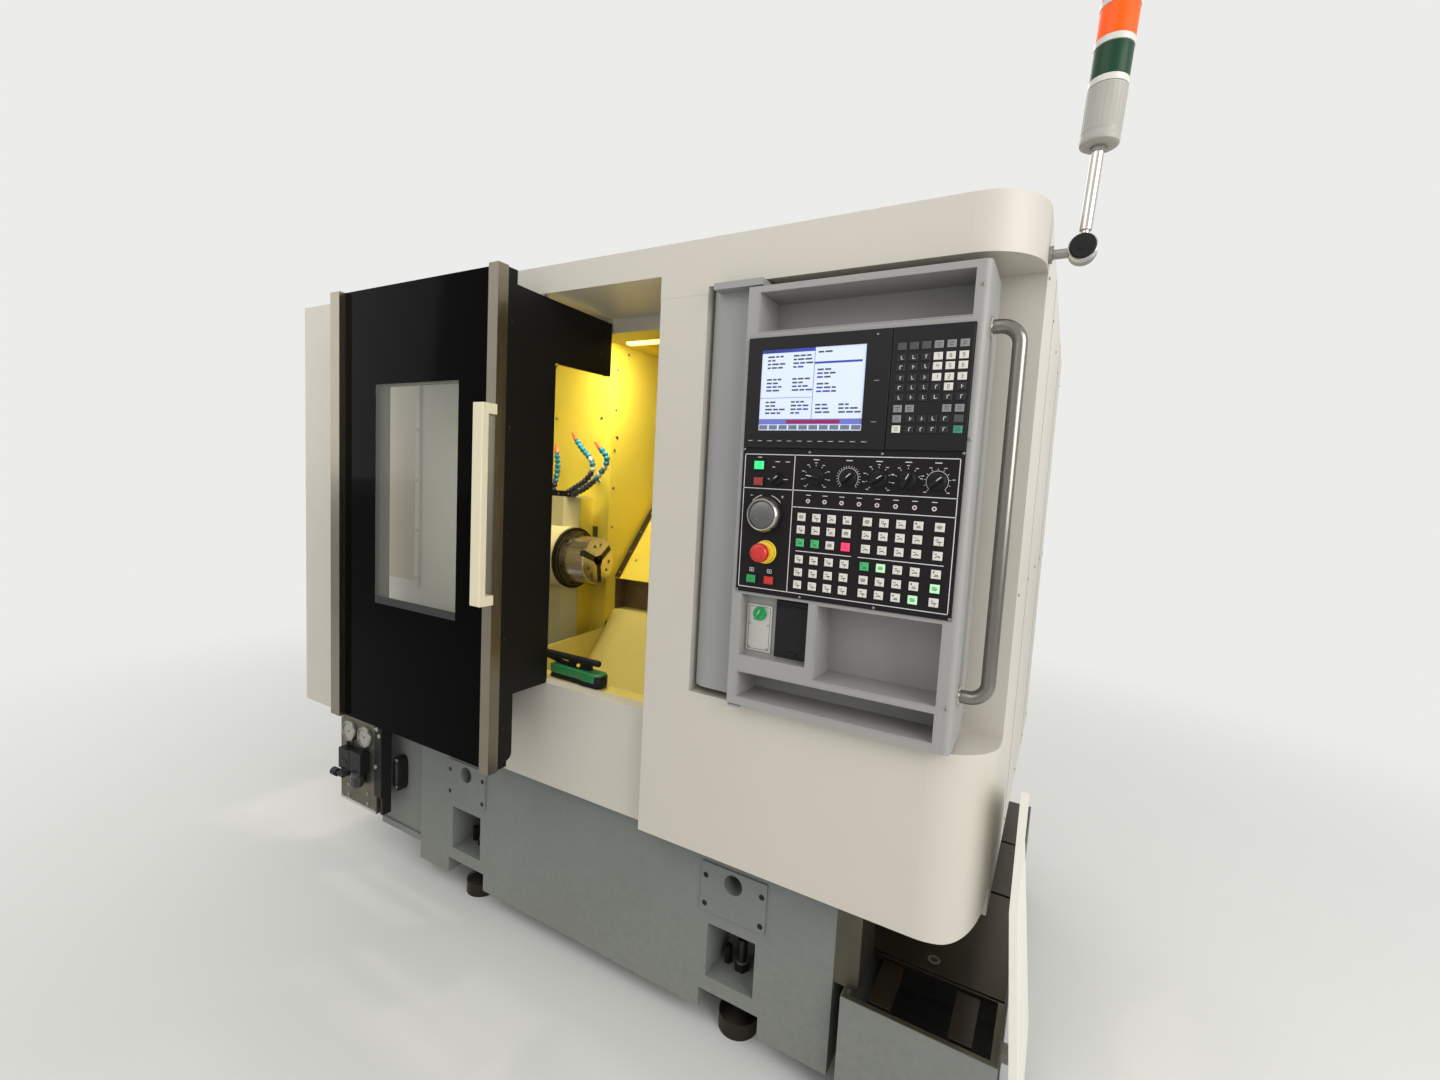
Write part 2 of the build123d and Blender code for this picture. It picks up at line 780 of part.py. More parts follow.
# Segmented coolant hoses on the hose shelf, each a chain of cups from its fitting to its nozzle
hose_shelf_z = stock_top
cup_radius = 11.0
cup_sides = 6
cup_lap = 4.0
cup_taper = 5.0
nozzle_taper = 11.0
hose_y = spindle_y + 4.0
hose_routes = (
    ((-372, 1284), (-341, 1300), (-309, 1318), (-279, 1339), (-258, 1366), (-262, 1398), (-286, 1424),
     (-313, 1447), (-336, 1474)),
    ((-352, 1278), (-318, 1289), (-281, 1309), (-248, 1332), (-219, 1360), (-194, 1392), (-204, 1426),
     (-233, 1456)),
    ((-440, 1286), (-434, 1320), (-423, 1356), (-422, 1392), (-428, 1428)),
)
nozzle_reach = 34.0
with BuildPart() as coolant_hoses:
    with BuildSketch(Plane.XY.offset(hose_shelf_z)):
        block(-460.0, -342.0, hose_y - 14.0, hose_y + 14.0)
    extrude(amount=20.0)
    for route in hose_routes:
        for start, end in zip(route[:-1], route[1:]):
            reach = Vector(end[0] - start[0], 0, end[1] - start[1])
            with BuildSketch(Plane(origin=(end[0], hose_y, end[1]), x_dir=(0, 1, 0), z_dir=-reach)):
                RegularPolygon(cup_radius, cup_sides)
            extrude(amount=reach.length + cup_lap, taper=cup_taper)
        tip = route[-1]
        back = route[-2]
        aim = Vector(tip[0] - back[0], 0, tip[1] - back[1])
        with BuildSketch(Plane(origin=(tip[0], hose_y, tip[1]), x_dir=(0, 1, 0), z_dir=aim)):
            RegularPolygon(cup_radius - 1.5, cup_sides)
        extrude(amount=nozzle_reach, taper=nozzle_taper)
finish(coolant_hoses, "coolant_hoses")

# Wash gun that rests on the ledge behind the sill
gun_left = -30.0
gun_length = 205.0
gun_height = 40.0
gun_tube_z = 838.0
gun_tube_radius = 9.0
gun_z = sill_top - sheet
gun_y = sill_y + sill_depth + ledge_depth / 2
with BuildPart() as wash_gun:
    with BuildSketch(Plane.XY.offset(gun_z)):
        with BuildLine():
            Polyline(
                (gun_left, gun_y - 12.0),
                (gun_left + 110.0, gun_y - 12.0),
                (gun_left + 125.0, gun_y - 24.0),
                (gun_left + gun_length, gun_y - 24.0),
                (gun_left + gun_length, gun_y + 22.0),
                (gun_left + 90.0, gun_y + 22.0),
                (gun_left, gun_y + 12.0),
                close=True,
            )
        make_face()
    extrude(amount=gun_height)
    fillet(wash_gun.edges().filter_by(Axis.Z), 6.0)
    chamfer(wash_gun.faces().sort_by(Axis.Z)[-1].edges(), 4.0)
    with BuildSketch(Plane.YZ.offset(gun_left - 60.0)):
        with Locations((gun_y + 4.0, gun_tube_z)):
            RegularPolygon(gun_tube_radius, 8)
    extrude(amount=240.0)
    with BuildSketch(Plane.YZ.offset(gun_left + 60.0)):
        block(gun_y - 4.0, gun_y + 12.0, gun_z + gun_height - 4.0, gun_tube_z)
    extrude(amount=80.0)
finish(wash_gun, "wash_gun")

# Sliding door: steel pan behind the glass, with the window opening
glass_y = front_y - glass_front
pan_front = glass_y + glass_thick
pan_back = front_y - 100.0
pan_left = door_left + trim_width_left + 1.0
pan_right = door_right - sheet
with BuildPart() as door_frame:
    with BuildSketch(front_plane(pan_back)):
        block(door_left, pan_right, door_bottom + 2.0, door_top - 2.0)
    extrude(amount=pan_back - pan_front)
    with BuildSketch(front_plane(pan_back)):
        block(door_left + sheet, pan_right - sheet, door_bottom + 5.0, door_top - 5.0)
    extrude(amount=pan_back - pan_front - sheet, mode=Mode.SUBTRACT)
    with BuildSketch(front_plane(pan_back)):
        block(window_left - 24.0, window_right + 24.0, window_bottom - 24.0, window_top + 24.0)
    extrude(amount=pan_back - pan_front - sheet)
    with BuildSketch(front_plane(pan_back)):
        block(window_left, window_right, window_bottom, window_top)
    extrude(amount=pan_back - pan_front, mode=Mode.SUBTRACT)
finish(door_frame, "door_frame")

# Glass pane between the trims
with BuildPart() as door_glass:
    with BuildSketch(front_plane(pan_front)):
        block(door_left + trim_width_left, door_right - trim_width_right, door_bottom, door_top)
    extrude(amount=glass_thick)
finish(door_glass, "door_glass")

# Stainless trims, folded channels down both sides
trim_sheet = 2.0
with BuildPart() as door_trims:
    with BuildSketch(Plane.XY.offset(door_bottom)):
        for low_x, high_x in ((door_left, door_left + trim_width_left), (door_right - trim_width_right, door_right)):
            block(low_x, high_x, front_y - door_front, pan_front)
            block(
                low_x + trim_sheet,
                high_x - trim_sheet,
                front_y - door_front + trim_sheet,
                pan_front,
                Mode.SUBTRACT,
            )
    extrude(amount=door_top - door_bottom)
finish(door_trims, "door_trims")

# Side plate with the arm that reaches under the soffit
plate_low_z = 609.0
plate_step_z = sill_top + sheet
plate_front = pan_front
plate_step_y = front_y - 87.0
plate_edge_y = sill_y - 4.0
arm_back = front_y + soffit_depth - 7.0
arm_low_z = 1632.0
arm_end_z = 1637.0
arm_top_front = 1791.0
arm_top_mid = 1787.0
arm_top_back = 1785.0
with BuildPart() as door_side_plate:
    with BuildSketch(Plane.YZ.offset(pan_right)) as plate_outline:
        with BuildLine():
            Polyline(
                (plate_front, plate_low_z),
                (plate_step_y, plate_low_z),
                (plate_step_y, plate_step_z),
                (plate_edge_y, plate_step_z),
                (plate_edge_y, arm_low_z),
                (arm_back, arm_end_z),
                (arm_back, arm_top_back),
                (front_y + 23.0, arm_top_mid),
                (plate_front, arm_top_front),
                close=True,
            )
        make_face()
        notch_corner = plate_outline.vertices().sort_by_distance((pan_right, plate_edge_y, arm_low_z))[0]
        fillet(notch_corner, 18.0)
    extrude(amount=sheet)
    with BuildSketch(front_plane(arm_back)):
        block(pan_right - 22.0, pan_right, arm_end_z, arm_top_back - 4.0)
    extrude(amount=sheet)
finish(door_side_plate, "door_side_plate")

# Pull handle, one flat bridge
handle_half = 17.0
handle_bar = 18.0
handle_leg = 24.0
handle_x = door_right - 11.0
with BuildPart() as door_handle:
    with BuildSketch(Plane.YZ.offset(handle_x - handle_half)):
        block(front_y - handle_reach, front_y - door_front, handle_bottom, handle_top)
        block(
            front_y - handle_reach + handle_bar,
            front_y - door_front,
            handle_bottom + handle_leg,
            handle_top - handle_leg,
            Mode.SUBTRACT,
        )
    extrude(amount=2 * handle_half)
    fillet(door_handle.faces().sort_by(Axis.Y)[0].edges(), 3.0)
finish(door_handle, "door_handle")

# Door rollers on the top rail and the shoes on the bottom guide
roller_stations = (-655.0, -385.0)
shoe_stations = (-655.0, -510.0)
roller_radius = 18.0
roller_y = front_y - 42.0
hanger_low_z = 1700.0
hanger_half = 20.0
with BuildPart() as door_rollers:
    for station in roller_stations:
        with BuildSketch(front_plane(roller_y + 8.0)):
            with Locations((station, top_rail_z + rail_height + free_gap + roller_radius)):
                Circle(roller_radius)
        extrude(amount=16.0)
        with BuildSketch(front_plane(roller_y - 8.0)):
            with Locations((station, top_rail_z + rail_height + free_gap + roller_radius)):
                RegularPolygon(7.0, 6)
        extrude(amount=24.0)
        with BuildSketch(front_plane(roller_y - 20.0)):
            block(
                station - hanger_half,
                station + hanger_half,
                hanger_low_z,
                top_rail_z + rail_height + 2 * roller_radius,
            )
        extrude(amount=6.0)
        with BuildSketch(Plane.XY.offset(hanger_low_z)):
            block(station - hanger_half, station + hanger_half, pan_front + sheet, roller_y - 20.0)
        extrude(amount=6.0)
    for station in shoe_stations:
        with BuildSketch(Plane.XY.offset(low_rail_z + rail_height + free_gap)):
            block(station - hanger_half, station + hanger_half, pan_front + sheet, front_y - 12.0)
        extrude(amount=8.0)
finish(door_rollers, "door_rollers")

# Pendant post with the pivot arms above and below the pendant
post_edge = pendant_left - 6.0
post_front = front_y - 2.0
post_round = 45.0
arm_left = pendant_left + 2.0
arm_setback = 40.0
post_low = 885.0
post_high = header_bottom - free_gap
arm_thick = 5.0
pivot_x = pendant_left + pivot_inset
pivot_y = front_y - pendant_proud + pivot_inset
pin_length = 12.0
low_arm_z = cover_top + free_gap
with BuildPart() as pendant_post:
    with BuildSketch(Plane.XY.offset(post_low)) as post_plan:
        block(column_right, post_edge, post_front, recess_back - 20.0)
        post_corner = post_plan.vertices().group_by(Axis.X)[0].sort_by(Axis.Y)[0]
        fillet(post_corner, post_round)
    extrude(amount=post_high - post_low)
    with BuildSketch(Plane.XY.offset(low_arm_z)):
        block(column_right + 30.0, pivot_x + 14.0, front_y + arm_setback, recess_back - 20.0)
        block(arm_left, pivot_x + 14.0, pivot_y - 12.0, front_y + arm_setback)
    extrude(amount=arm_thick)
    with BuildSketch(Plane.XY.offset(low_arm_z + arm_thick)):
        block(column_right + 45.0, post_edge, front_y + arm_setback + 10.0, recess_back - 20.0)
    extrude(amount=post_low - low_arm_z - arm_thick)
    with BuildSketch(Plane.XY.offset(pendant_top + 4.0)):
        block(column_right + 30.0, pivot_x + 14.0, pivot_y - 12.0, recess_back - 20.0)
    extrude(amount=14.0)
    with BuildSketch(Plane.XY.offset(low_arm_z + arm_thick)):
        with Locations((pivot_x, pivot_y)):
            Circle(pivot_radius)
    extrude(amount=pin_length)
    with BuildSketch(Plane.XY.offset(pendant_top + 4.0)):
        with Locations((pivot_x, pivot_y)):
            Circle(pivot_radius)
    extrude(amount=-pin_length)
finish(pendant_post, "pendant_post")

# Pendant housing with its shelf, instrument openings, compartment and tray
face_y = front_y - pendant_proud
seat_y = front_y - 22.0
shelf_depth = 90.0
side_recess = 24.0
plate_rise = 3.0
selector_spot = (48.0, 1074.0)
stem_radius = 3.0
with BuildPart() as pendant_housing:
    with BuildSketch(Plane.XY.offset(pendant_bottom)) as housing_plan:
        block(pendant_left, pendant_right, face_y, front_y + pendant_back)
        front_corners = housing_plan.vertices().group_by(Axis.Y)[0]
        fillet(front_corners.sort_by(Axis.X)[-1], 12.0)
    extrude(amount=pendant_top - pendant_bottom)
    with BuildSketch(front_plane(face_y)):
        block(629.0, 1035.0, 1651.0, 1729.0)
        block(793.0, 1029.0, 962.0, 1113.0)
        block(625.0, 1028.0, 893.0, 948.0)
    extrude(amount=-shelf_depth, mode=Mode.SUBTRACT)
    with BuildSketch(front_plane(face_y)):
        block(unit_x - 1.0, unit_x + unit_width + 1.0, console_bottom, unit_bottom + unit_height + 1.0)
    extrude(amount=-(seat_y - face_y), mode=Mode.SUBTRACT)
    with BuildSketch(front_plane(face_y)):
        block(625.0, 774.0, 984.0, 1115.0)
    extrude(amount=-side_recess, mode=Mode.SUBTRACT)
    with BuildSketch(front_plane(face_y + side_recess)):
        block(unit_x + 18.0, unit_x + 76.0, 993.0, 1093.0)
    extrude(amount=plate_rise)
    with BuildSketch(front_plane(face_y + side_recess - plate_rise)):
        with Locations((unit_x + selector_spot[0], selector_spot[1])):
            Circle(stem_radius + running_fit)
    extrude(amount=-(plate_rise + 3.0), mode=Mode.SUBTRACT)
    with BuildSketch(Plane.XY.offset(pendant_bottom)):
        with Locations((pivot_x, pivot_y)):
            Circle(pivot_radius + running_fit)
    extrude(amount=pin_length + 4.0, mode=Mode.SUBTRACT)
    with BuildSketch(Plane.XY.offset(pendant_top)):
        with Locations((pivot_x, pivot_y)):
            Circle(pivot_radius + running_fit)
    extrude(amount=-(pin_length + 4.0), mode=Mode.SUBTRACT)
finish(pendant_housing, "pendant_housing")

# Display unit: bezel, recessed screen, soft keys and the key field
bezel_y = front_y - pendant_proud - 6.0
screen_low_x = unit_x + 31.0
screen_high_x = unit_x + 244.0
key_columns = 6
key_pitch = 21.2
key_first = 309.0
key_rows = (1604.0, 1584.0, 1566.0, 1548.0, 1531.0, 1515.0, 1493.0, 1475.0, 1457.0)
with BuildPart() as display_unit:
    with BuildSketch(front_plane(seat_y)):
        block(unit_x, unit_x + unit_width, unit_bottom, unit_bottom + unit_height)
    extrude(amount=seat_y - bezel_y)
    with BuildSketch(front_plane(bezel_y)):
        block(screen_low_x, screen_high_x, 1454.0, 1613.0)
        block(unit_x + 290.0, unit_x + 291.5, unit_bottom, unit_bottom + unit_height)
    extrude(amount=-2.0, mode=Mode.SUBTRACT)
    with BuildSketch(front_plane(bezel_y)):
        for column in range(key_columns):
            for row in key_rows:
                with Locations((unit_x + key_first + column * key_pitch, row)):
                    Rectangle(14.0, 11.0)
        for column in range(12):
            with Locations((unit_x + 16.0 + column * 21.4, 1433.0)):
                Rectangle(14.0, 4.0)
    extrude(amount=2.0)
finish(display_unit, "display_unit")

# Operation panel: plate with the seats of every switch
console_y = front_y - pendant_proud - 3.0
console_thick = console_y - seat_y
knob_spots = ((160.0, 1365.0), (226.0, 1365.0), (283.0, 1365.0), (336.0, 1365.0), (388.0, 1365.0))
key_switch_spot = (78.0, 1357.0)
handwheel_spot = (58.0, 1284.0)
estop_spot = (63.0, 1208.0)
button_spots = {
    "power_on_button": (38.0, 1384.0),
    "power_off_button": (38.0, 1351.0),
    "cycle_start_button": (34.0, 1150.0),
    "feed_hold_button": (74.0, 1151.0),
}
button_width = 20.0
button_height = 16.0
estop_stem = 11.0
with BuildPart() as operation_panel:
    with BuildSketch(front_plane(seat_y)):
        block(unit_x - 1.0, unit_x + unit_width + 1.0, console_bottom, unit_bottom)
    extrude(amount=-console_thick)
    with BuildSketch(front_plane(console_y)):
        with Locations((unit_x + estop_spot[0], estop_spot[1])):
            Circle(22.0)
    extrude(amount=12.0)
    with BuildSketch(front_plane(console_y - 12.0)):
        with Locations((unit_x + estop_spot[0], estop_spot[1])):
            Circle(estop_stem + running_fit)
    extrude(amount=-(12.0 - console_thick - 1.0), mode=Mode.SUBTRACT)
    with BuildSketch(front_plane(console_y)):
        for across, height in (*knob_spots, key_switch_spot, handwheel_spot):
            with Locations((unit_x + across, height)):
                Circle(stem_radius + running_fit)
        for across, height in button_spots.values():
            with Locations((unit_x + across, height)):
                Rectangle(button_width + 2 * free_gap, button_height + 2 * free_gap)
    extrude(amount=console_thick + 1.0, mode=Mode.SUBTRACT)
finish(operation_panel, "operation_panel")

# Operation keys, one group of equal caps
cap_width = 19.0
cap_height = 18.0
cap_rise = 3.0
cap_rows_high = (1285.0, 1260.0, 1234.0)
cap_rows_low = (1201.0, 1175.0, 1150.0)
cap_columns = (137.0, 168.0, 199.0, 230.0, 269.0, 300.0, 331.0, 362.0, 399.0)
with BuildPart() as operation_keys:
    with BuildSketch(front_plane(console_y)):
        for across in cap_columns:
            for height in (*cap_rows_high, *cap_rows_low):
                with Locations((unit_x + across, height)):
                    Rectangle(cap_width, cap_height)
    extrude(amount=cap_rise)
finish(operation_keys, "operation_keys")

# Rotary switches: skirt, grip bar and stem
skirt_radius = 16.0
knob_turns = (172.0, 42.0, 32.0, 64.0, 40.0)
for knob_index, (across, height) in enumerate(knob_spots):
    with BuildPart() as knob:
        with BuildSketch(front_plane(console_y - free_gap)):
            with Locations((unit_x + across, height)):
                Circle(skirt_radius)
        extrude(amount=7.0)
        with BuildSketch(front_plane(console_y - free_gap - 7.0)):
            with Locations(Location((unit_x + across, height), knob_turns[knob_index])):
                Rectangle(2 * skirt_radius - 3.0, 9.0)
        extrude(amount=12.0)
        with BuildSketch(front_plane(console_y - free_gap)):
            with Locations((unit_x + across, height)):
                Circle(stem_radius)
        extrude(amount=-(abs(console_thick) - 2.0))
    finish(knob, f"selector_knob_{knob_index + 1}")

# Lock switch
with BuildPart() as lock_switch:
    with BuildSketch(front_plane(console_y - free_gap)):
        with Locations((unit_x + key_switch_spot[0], key_switch_spot[1])):
            Circle(12.0)
    extrude(amount=8.0)
    with BuildSketch(front_plane(console_y - free_gap - 8.0)):
        with Locations(Location((unit_x + key_switch_spot[0], key_switch_spot[1]), 40.0)):
            Rectangle(21.0, 7.0)
    extrude(amount=8.0)
    with BuildSketch(front_plane(console_y - free_gap)):
        with Locations((unit_x + key_switch_spot[0], key_switch_spot[1])):
            Circle(stem_radius)
    extrude(amount=-(abs(console_thick) - 2.0))
finish(lock_switch, "lock_switch")

# Hand pulse wheel with its crank dimple
wheel_radius = 36.0
wheel_axis = Axis((unit_x + handwheel_spot[0], console_y, handwheel_spot[1]), (0, -1, 0))
wheel_plane = Plane(
    origin=(unit_x + handwheel_spot[0], console_y - free_gap, handwheel_spot[1]),
    x_dir=(1, 0, 0),
    z_dir=(0, 0, 1),
)
with BuildPart() as handwheel:
    with BuildSketch(wheel_plane):
        Polygon(
            (0, abs(console_thick) - 2.0),
            (stem_radius, abs(console_thick) - 2.0),
            (stem_radius, 0),
            (wheel_radius, 0),
            (wheel_radius, -13.0),
            (wheel_radius - 6.0, -20.0),
            (0, -17.0),
            align=None,
        )
    revolve(axis=wheel_axis)
    with BuildSketch(front_plane(console_y - free_gap - 16.0)):
        with Locations((unit_x + handwheel_spot[0] - 8.0, handwheel_spot[1] - 22.0)):
            RegularPolygon(6.0, 8)
    extrude(amount=12.0)
finish(handwheel, "handwheel")

# Emergency stop head
estop_reach = 40.0
estop_y = console_y - estop_reach
with BuildPart() as estop_button:
    with BuildSketch(front_plane(estop_y + 20.0)):
        with Locations((unit_x + estop_spot[0], estop_spot[1])):
            Circle(19.5)
    extrude(amount=20.0)
    chamfer(estop_button.faces().sort_by(Axis.Y)[0].edges(), 5.0)
    with BuildSketch(front_plane(console_y - 5.0)):
        with Locations((unit_x + estop_spot[0], estop_spot[1])):
            Circle(estop_stem)
    extrude(amount=16.0)
finish(estop_button, "estop_button")

# Push buttons, square and lit
for label, (across, height) in button_spots.items():
    with BuildPart() as button:
        with BuildSketch(front_plane(console_y + 4.0)):
            with Locations((unit_x + across, height)):
                Rectangle(button_width, button_height)
        extrude(amount=9.0)
    finish(button, label)

# Round selector left of the media cover
with BuildPart() as mode_selector:
    with BuildSketch(front_plane(front_y - 6.0 - 3.0 - free_gap)):
        with Locations((unit_x + selector_spot[0], selector_spot[1])):
            Circle(15.0)
    extrude(amount=9.0)
    with BuildSketch(front_plane(front_y - 6.0 - 12.0 - free_gap)):
        with Locations(Location((unit_x + selector_spot[0], selector_spot[1]), 60.0)):
            Rectangle(26.0, 8.0)
    extrude(amount=7.0)
    with BuildSketch(front_plane(front_y - 6.0 - 3.0 - free_gap)):
        with Locations((unit_x + selector_spot[0], selector_spot[1])):
            Circle(stem_radius)
    extrude(amount=-4.0)
finish(mode_selector, "mode_selector")

# Media cover, hinged at its top edge
media_hinge_z = 1107.0
media_thick = 6.0
media_left = unit_x + 86.0
media_right = unit_x + 161.0
media_y = front_y - 6.0 - free_gap
with BuildPart() as media_cover:
    with BuildSketch(front_plane(media_y)):
        block(media_left, media_right, 990.0, media_hinge_z)
    extrude(amount=media_thick)
    with BuildSketch(Plane.YZ.offset(media_left)):
        with Locations((media_y - media_thick / 2, media_hinge_z)):
            Circle(media_thick / 2)
    extrude(amount=media_right - media_left)
    with BuildSketch(front_plane(media_y - media_thick)):
        with Locations((unit_x + 123.0, 1001.0)):
            SlotOverall(26.0, 6.0)
    extrude(amount=3.0)
finish(media_cover, "media_cover")

# Grab rail on the pendant's right side
rail_x = 1108.0
rail_tube = 12.5
rail_low = 975.0
rail_high = 1640.0
rail_y = front_y + 20.0
with BuildPart() as grab_rail:
    with BuildLine() as rail_path:
        FilletPolyline(
            (pendant_right, rail_y, rail_low),
            (rail_x, rail_y, rail_low),
            (rail_x, rail_y, rail_high),
            (pendant_right, rail_y, rail_high),
            radius=32.0,
        )
    with BuildSketch(Plane(origin=(pendant_right, rail_y, rail_low), x_dir=(0, 1, 0), z_dir=(1, 0, 0))):
        Circle(rail_tube)
    sweep()
finish(grab_rail, "grab_rail")

# Air service plate, folded, with its two standoffs
air_left = -912.0
air_right = -707.0
air_bottom = 188.0
air_top = 490.0
air_depth = 22.0
with BuildPart() as air_unit_plate:
    with BuildSketch(front_plane(front_y + air_depth)):
        block(air_left, air_right, air_bottom, air_top)
    extrude(amount=air_depth)
    with BuildSketch(front_plane(front_y + air_depth)):
        block(air_left + sheet, air_right - sheet, air_bottom + sheet, air_top - sheet)
    extrude(amount=air_depth - sheet, mode=Mode.SUBTRACT)
    with BuildSketch(front_plane(wing_front)):
        with Locations((air_right - 40.0, air_bottom + 60.0), (air_right - 40.0, air_top - 60.0)):
            Circle(9.0)
    extrude(amount=wing_setback - sheet)
finish(air_unit_plate, "air_unit_plate")

# Regulators with their bowls and gauges, and the connector block on the base wing
gauge_radius = 28.0
gauge_spots = ((-856.0, 437.0), (-774.0, 437.0))
body_top = 384.0
body_bottom = 344.0
bowl_radius = 18.0
with BuildPart() as air_service_unit:
    with BuildSketch(front_plane(front_y)):
        block(-894.0, -742.0, body_bottom, body_top)
    extrude(amount=46.0)
    for across, height in gauge_spots:
        with BuildSketch(Plane.XY.offset(body_top)):
            with Locations((across, front_y - 26.0)):
                Circle(bowl_radius)
        extrude(amount=-120.0)
    with BuildSketch(front_plane(front_y)):
        with Locations(*gauge_spots):
            Circle(gauge_radius)
    extrude(amount=22.0)
    with BuildSketch(Plane.YZ.offset(air_left - 38.0)):
        with Locations((front_y - 30.0, body_bottom + 18.0)):
            Circle(14.0)
    extrude(amount=70.0)
    with BuildSketch(front_plane(wing_front)):
        block(-690.0, -648.0, 262.0, 378.0)
    extrude(amount=38.0)
finish(air_service_unit, "air_service_unit")

# Signal tower: fixed bracket with the knuckle socket, then the leaning pole, housing and lenses
knuckle_radius = 23.0
knuckle_half = 18.0
stub_radius = 8.5
stub_y = tower_y + knuckle_half / 2
with BuildPart() as tower_bracket:
    with BuildSketch(Plane.YZ.offset(enclosure_right)):
        with Locations((stub_y, tower_z)):
            Circle(15.0)
    extrude(amount=6.0)
    with BuildSketch(Plane.YZ.offset(enclosure_right)):
        with Locations((stub_y, tower_z)):
            Circle(stub_radius)
    extrude(amount=tower_x - enclosure_right - knuckle_radius + 6.0)
    with BuildSketch(front_plane(tower_y + knuckle_half)):
        with Locations((tower_x, tower_z)):
            Circle(knuckle_radius)
    extrude(amount=knuckle_half)
finish(tower_bracket, "tower_bracket")

tower_plane = Plane(
    origin=(tower_x, tower_y - knuckle_half / 2, tower_z),
    x_dir=(math.cos(lean), 0, -math.sin(lean)),
    z_dir=(math.sin(lean), 0, math.cos(lean)),
)
with BuildPart() as tower_pole:
    with BuildSketch(front_plane(tower_y - free_gap)):
        with Locations((tower_x, tower_z)):
            Circle(knuckle_radius)
    extrude(amount=knuckle_half)
    with BuildSketch(tower_plane.offset(16.0)):
        Circle(pole_radius - 3.5)
    extrude(amount=housing_low - 16.0)
    with BuildSketch(tower_plane.offset(28.0)):
        Circle(pole_radius)
    extrude(amount=housing_low - 28.0)
    with BuildSketch(tower_plane.offset(housing_low)):
        Circle(lens_radius + 1.0)
    extrude(amount=housing_height)
finish(tower_pole, "tower_pole")

lens_low = housing_low + housing_height
with BuildPart() as tower_lenses:
    for level in range(lens_count):
        start = lens_low + level * (lens_height + lens_gap)
        with BuildSketch(tower_plane.offset(start)):
            Circle(lens_radius)
        extrude(amount=lens_height)
        with BuildSketch(tower_plane.offset(start + lens_height)):
            Circle(lens_radius + 1.0)
        extrude(amount=lens_gap)
finish(tower_lenses, "tower_lenses")

# Coolant tank on skids, with baffles
tank_front = front_y + 30.0
tank_back = tank_front + tank_depth
with BuildPart() as coolant_tank:
    with BuildSketch(Plane.XY.offset(tank_clear)):
        block(tank_left, tank_right, tank_front, tank_back)
    extrude(amount=tank_top - tank_clear)
    with BuildSketch(Plane.XY.offset(tank_clear + sheet)):
        block(tank_left + sheet, tank_right - sheet, tank_front + sheet, tank_back - sheet)
    extrude(amount=tank_top - tank_clear - sheet, mode=Mode.SUBTRACT)
    with BuildSketch(Plane.XY.offset(tank_clear + sheet)):
        for part_line in (tank_front + 420.0, tank_front + 780.0):
            block(tank_left + sheet, tank_right - sheet, part_line, part_line + sheet)
    extrude(amount=tank_top - tank_clear - 60.0)
    with BuildSketch(Plane.XY):
        for skid in (tank_left + 40.0, tank_right - 80.0):
            block(skid, skid + 40.0, tank_front + 10.0, tank_back - 10.0)
    extrude(amount=tank_clear)
finish(coolant_tank, "coolant_tank")

# Drain spout, a folded strip beside the base above the tank
spout_left = base_right
spout_right = 908.0
spout_low = tank_top + free_gap
with BuildPart() as drain_spout:
    with BuildSketch(Plane.XY.offset(spout_low)):
        block(spout_left, spout_right, base_front, base_front + 120.0)
        block(spout_left + sheet, spout_right - sheet, base_front + sheet, base_front + 120.0, Mode.SUBTRACT)
    extrude(amount=base_top - spout_low)
finish(drain_spout, "drain_spout")

# Splash guard that stands on the tank's outer side
guard_upright_x = 1177.0
guard_high_z = 821.0
guard_bend_z = 592.0
guard_low_z = 84.0
guard_hem = 14.0
guard_depth = 400.0
guard_fall = 181.0
guard_lean = (guard_reach - sheet - guard_upright_x) / (guard_bend_z - guard_low_z)
bracket_width = 30.0
bracket_height = 20.0
bracket_low_z = tank_top - 60.0
bracket_right = guard_upright_x + sheet / 2 + (guard_bend_z - bracket_low_z - bracket_height / 2) * guard_lean
with BuildPart() as tank_guard:
    with BuildSketch(front_plane(tank_front + guard_depth)):
        with BuildLine():
            Polyline(
                (guard_upright_x, guard_high_z),
                (guard_upright_x, guard_bend_z),
                (guard_reach - sheet, guard_low_z),
                (guard_reach, guard_low_z),
                (guard_upright_x + sheet, guard_bend_z + 0.3),
                (guard_upright_x + sheet, guard_high_z),
                close=True,
            )
        make_face()
    extrude(amount=guard_depth)
    with BuildSketch(front_plane(tank_front + sheet)):
        with BuildLine():
            Polyline(
                (guard_upright_x, guard_high_z),
                (guard_upright_x, guard_bend_z),
                (guard_reach - guard_hem, guard_low_z),
                (guard_reach - sheet, guard_low_z),
                (guard_reach, guard_low_z),
                (guard_upright_x + guard_hem, guard_bend_z),
                (guard_upright_x + guard_hem, guard_high_z),
                close=True,
            )
        make_face()
    extrude(amount=sheet)
    with BuildSketch(Plane.YZ.offset(guard_upright_x)):
        Polygon(
            (tank_front + sheet, guard_high_z),
            (tank_front + guard_depth, guard_high_z - guard_fall),
            (tank_front + guard_depth, guard_high_z),
            align=None,
        )
    extrude(amount=sheet, mode=Mode.SUBTRACT)
    for bracket_back in (tank_front + 4 * bracket_width, tank_front + guard_depth - bracket_width):
        with BuildSketch(front_plane(bracket_back)):
            block(tank_right, bracket_right, bracket_low_z, bracket_low_z + bracket_height)
        extrude(amount=bracket_width)
finish(tank_guard, "tank_guard")
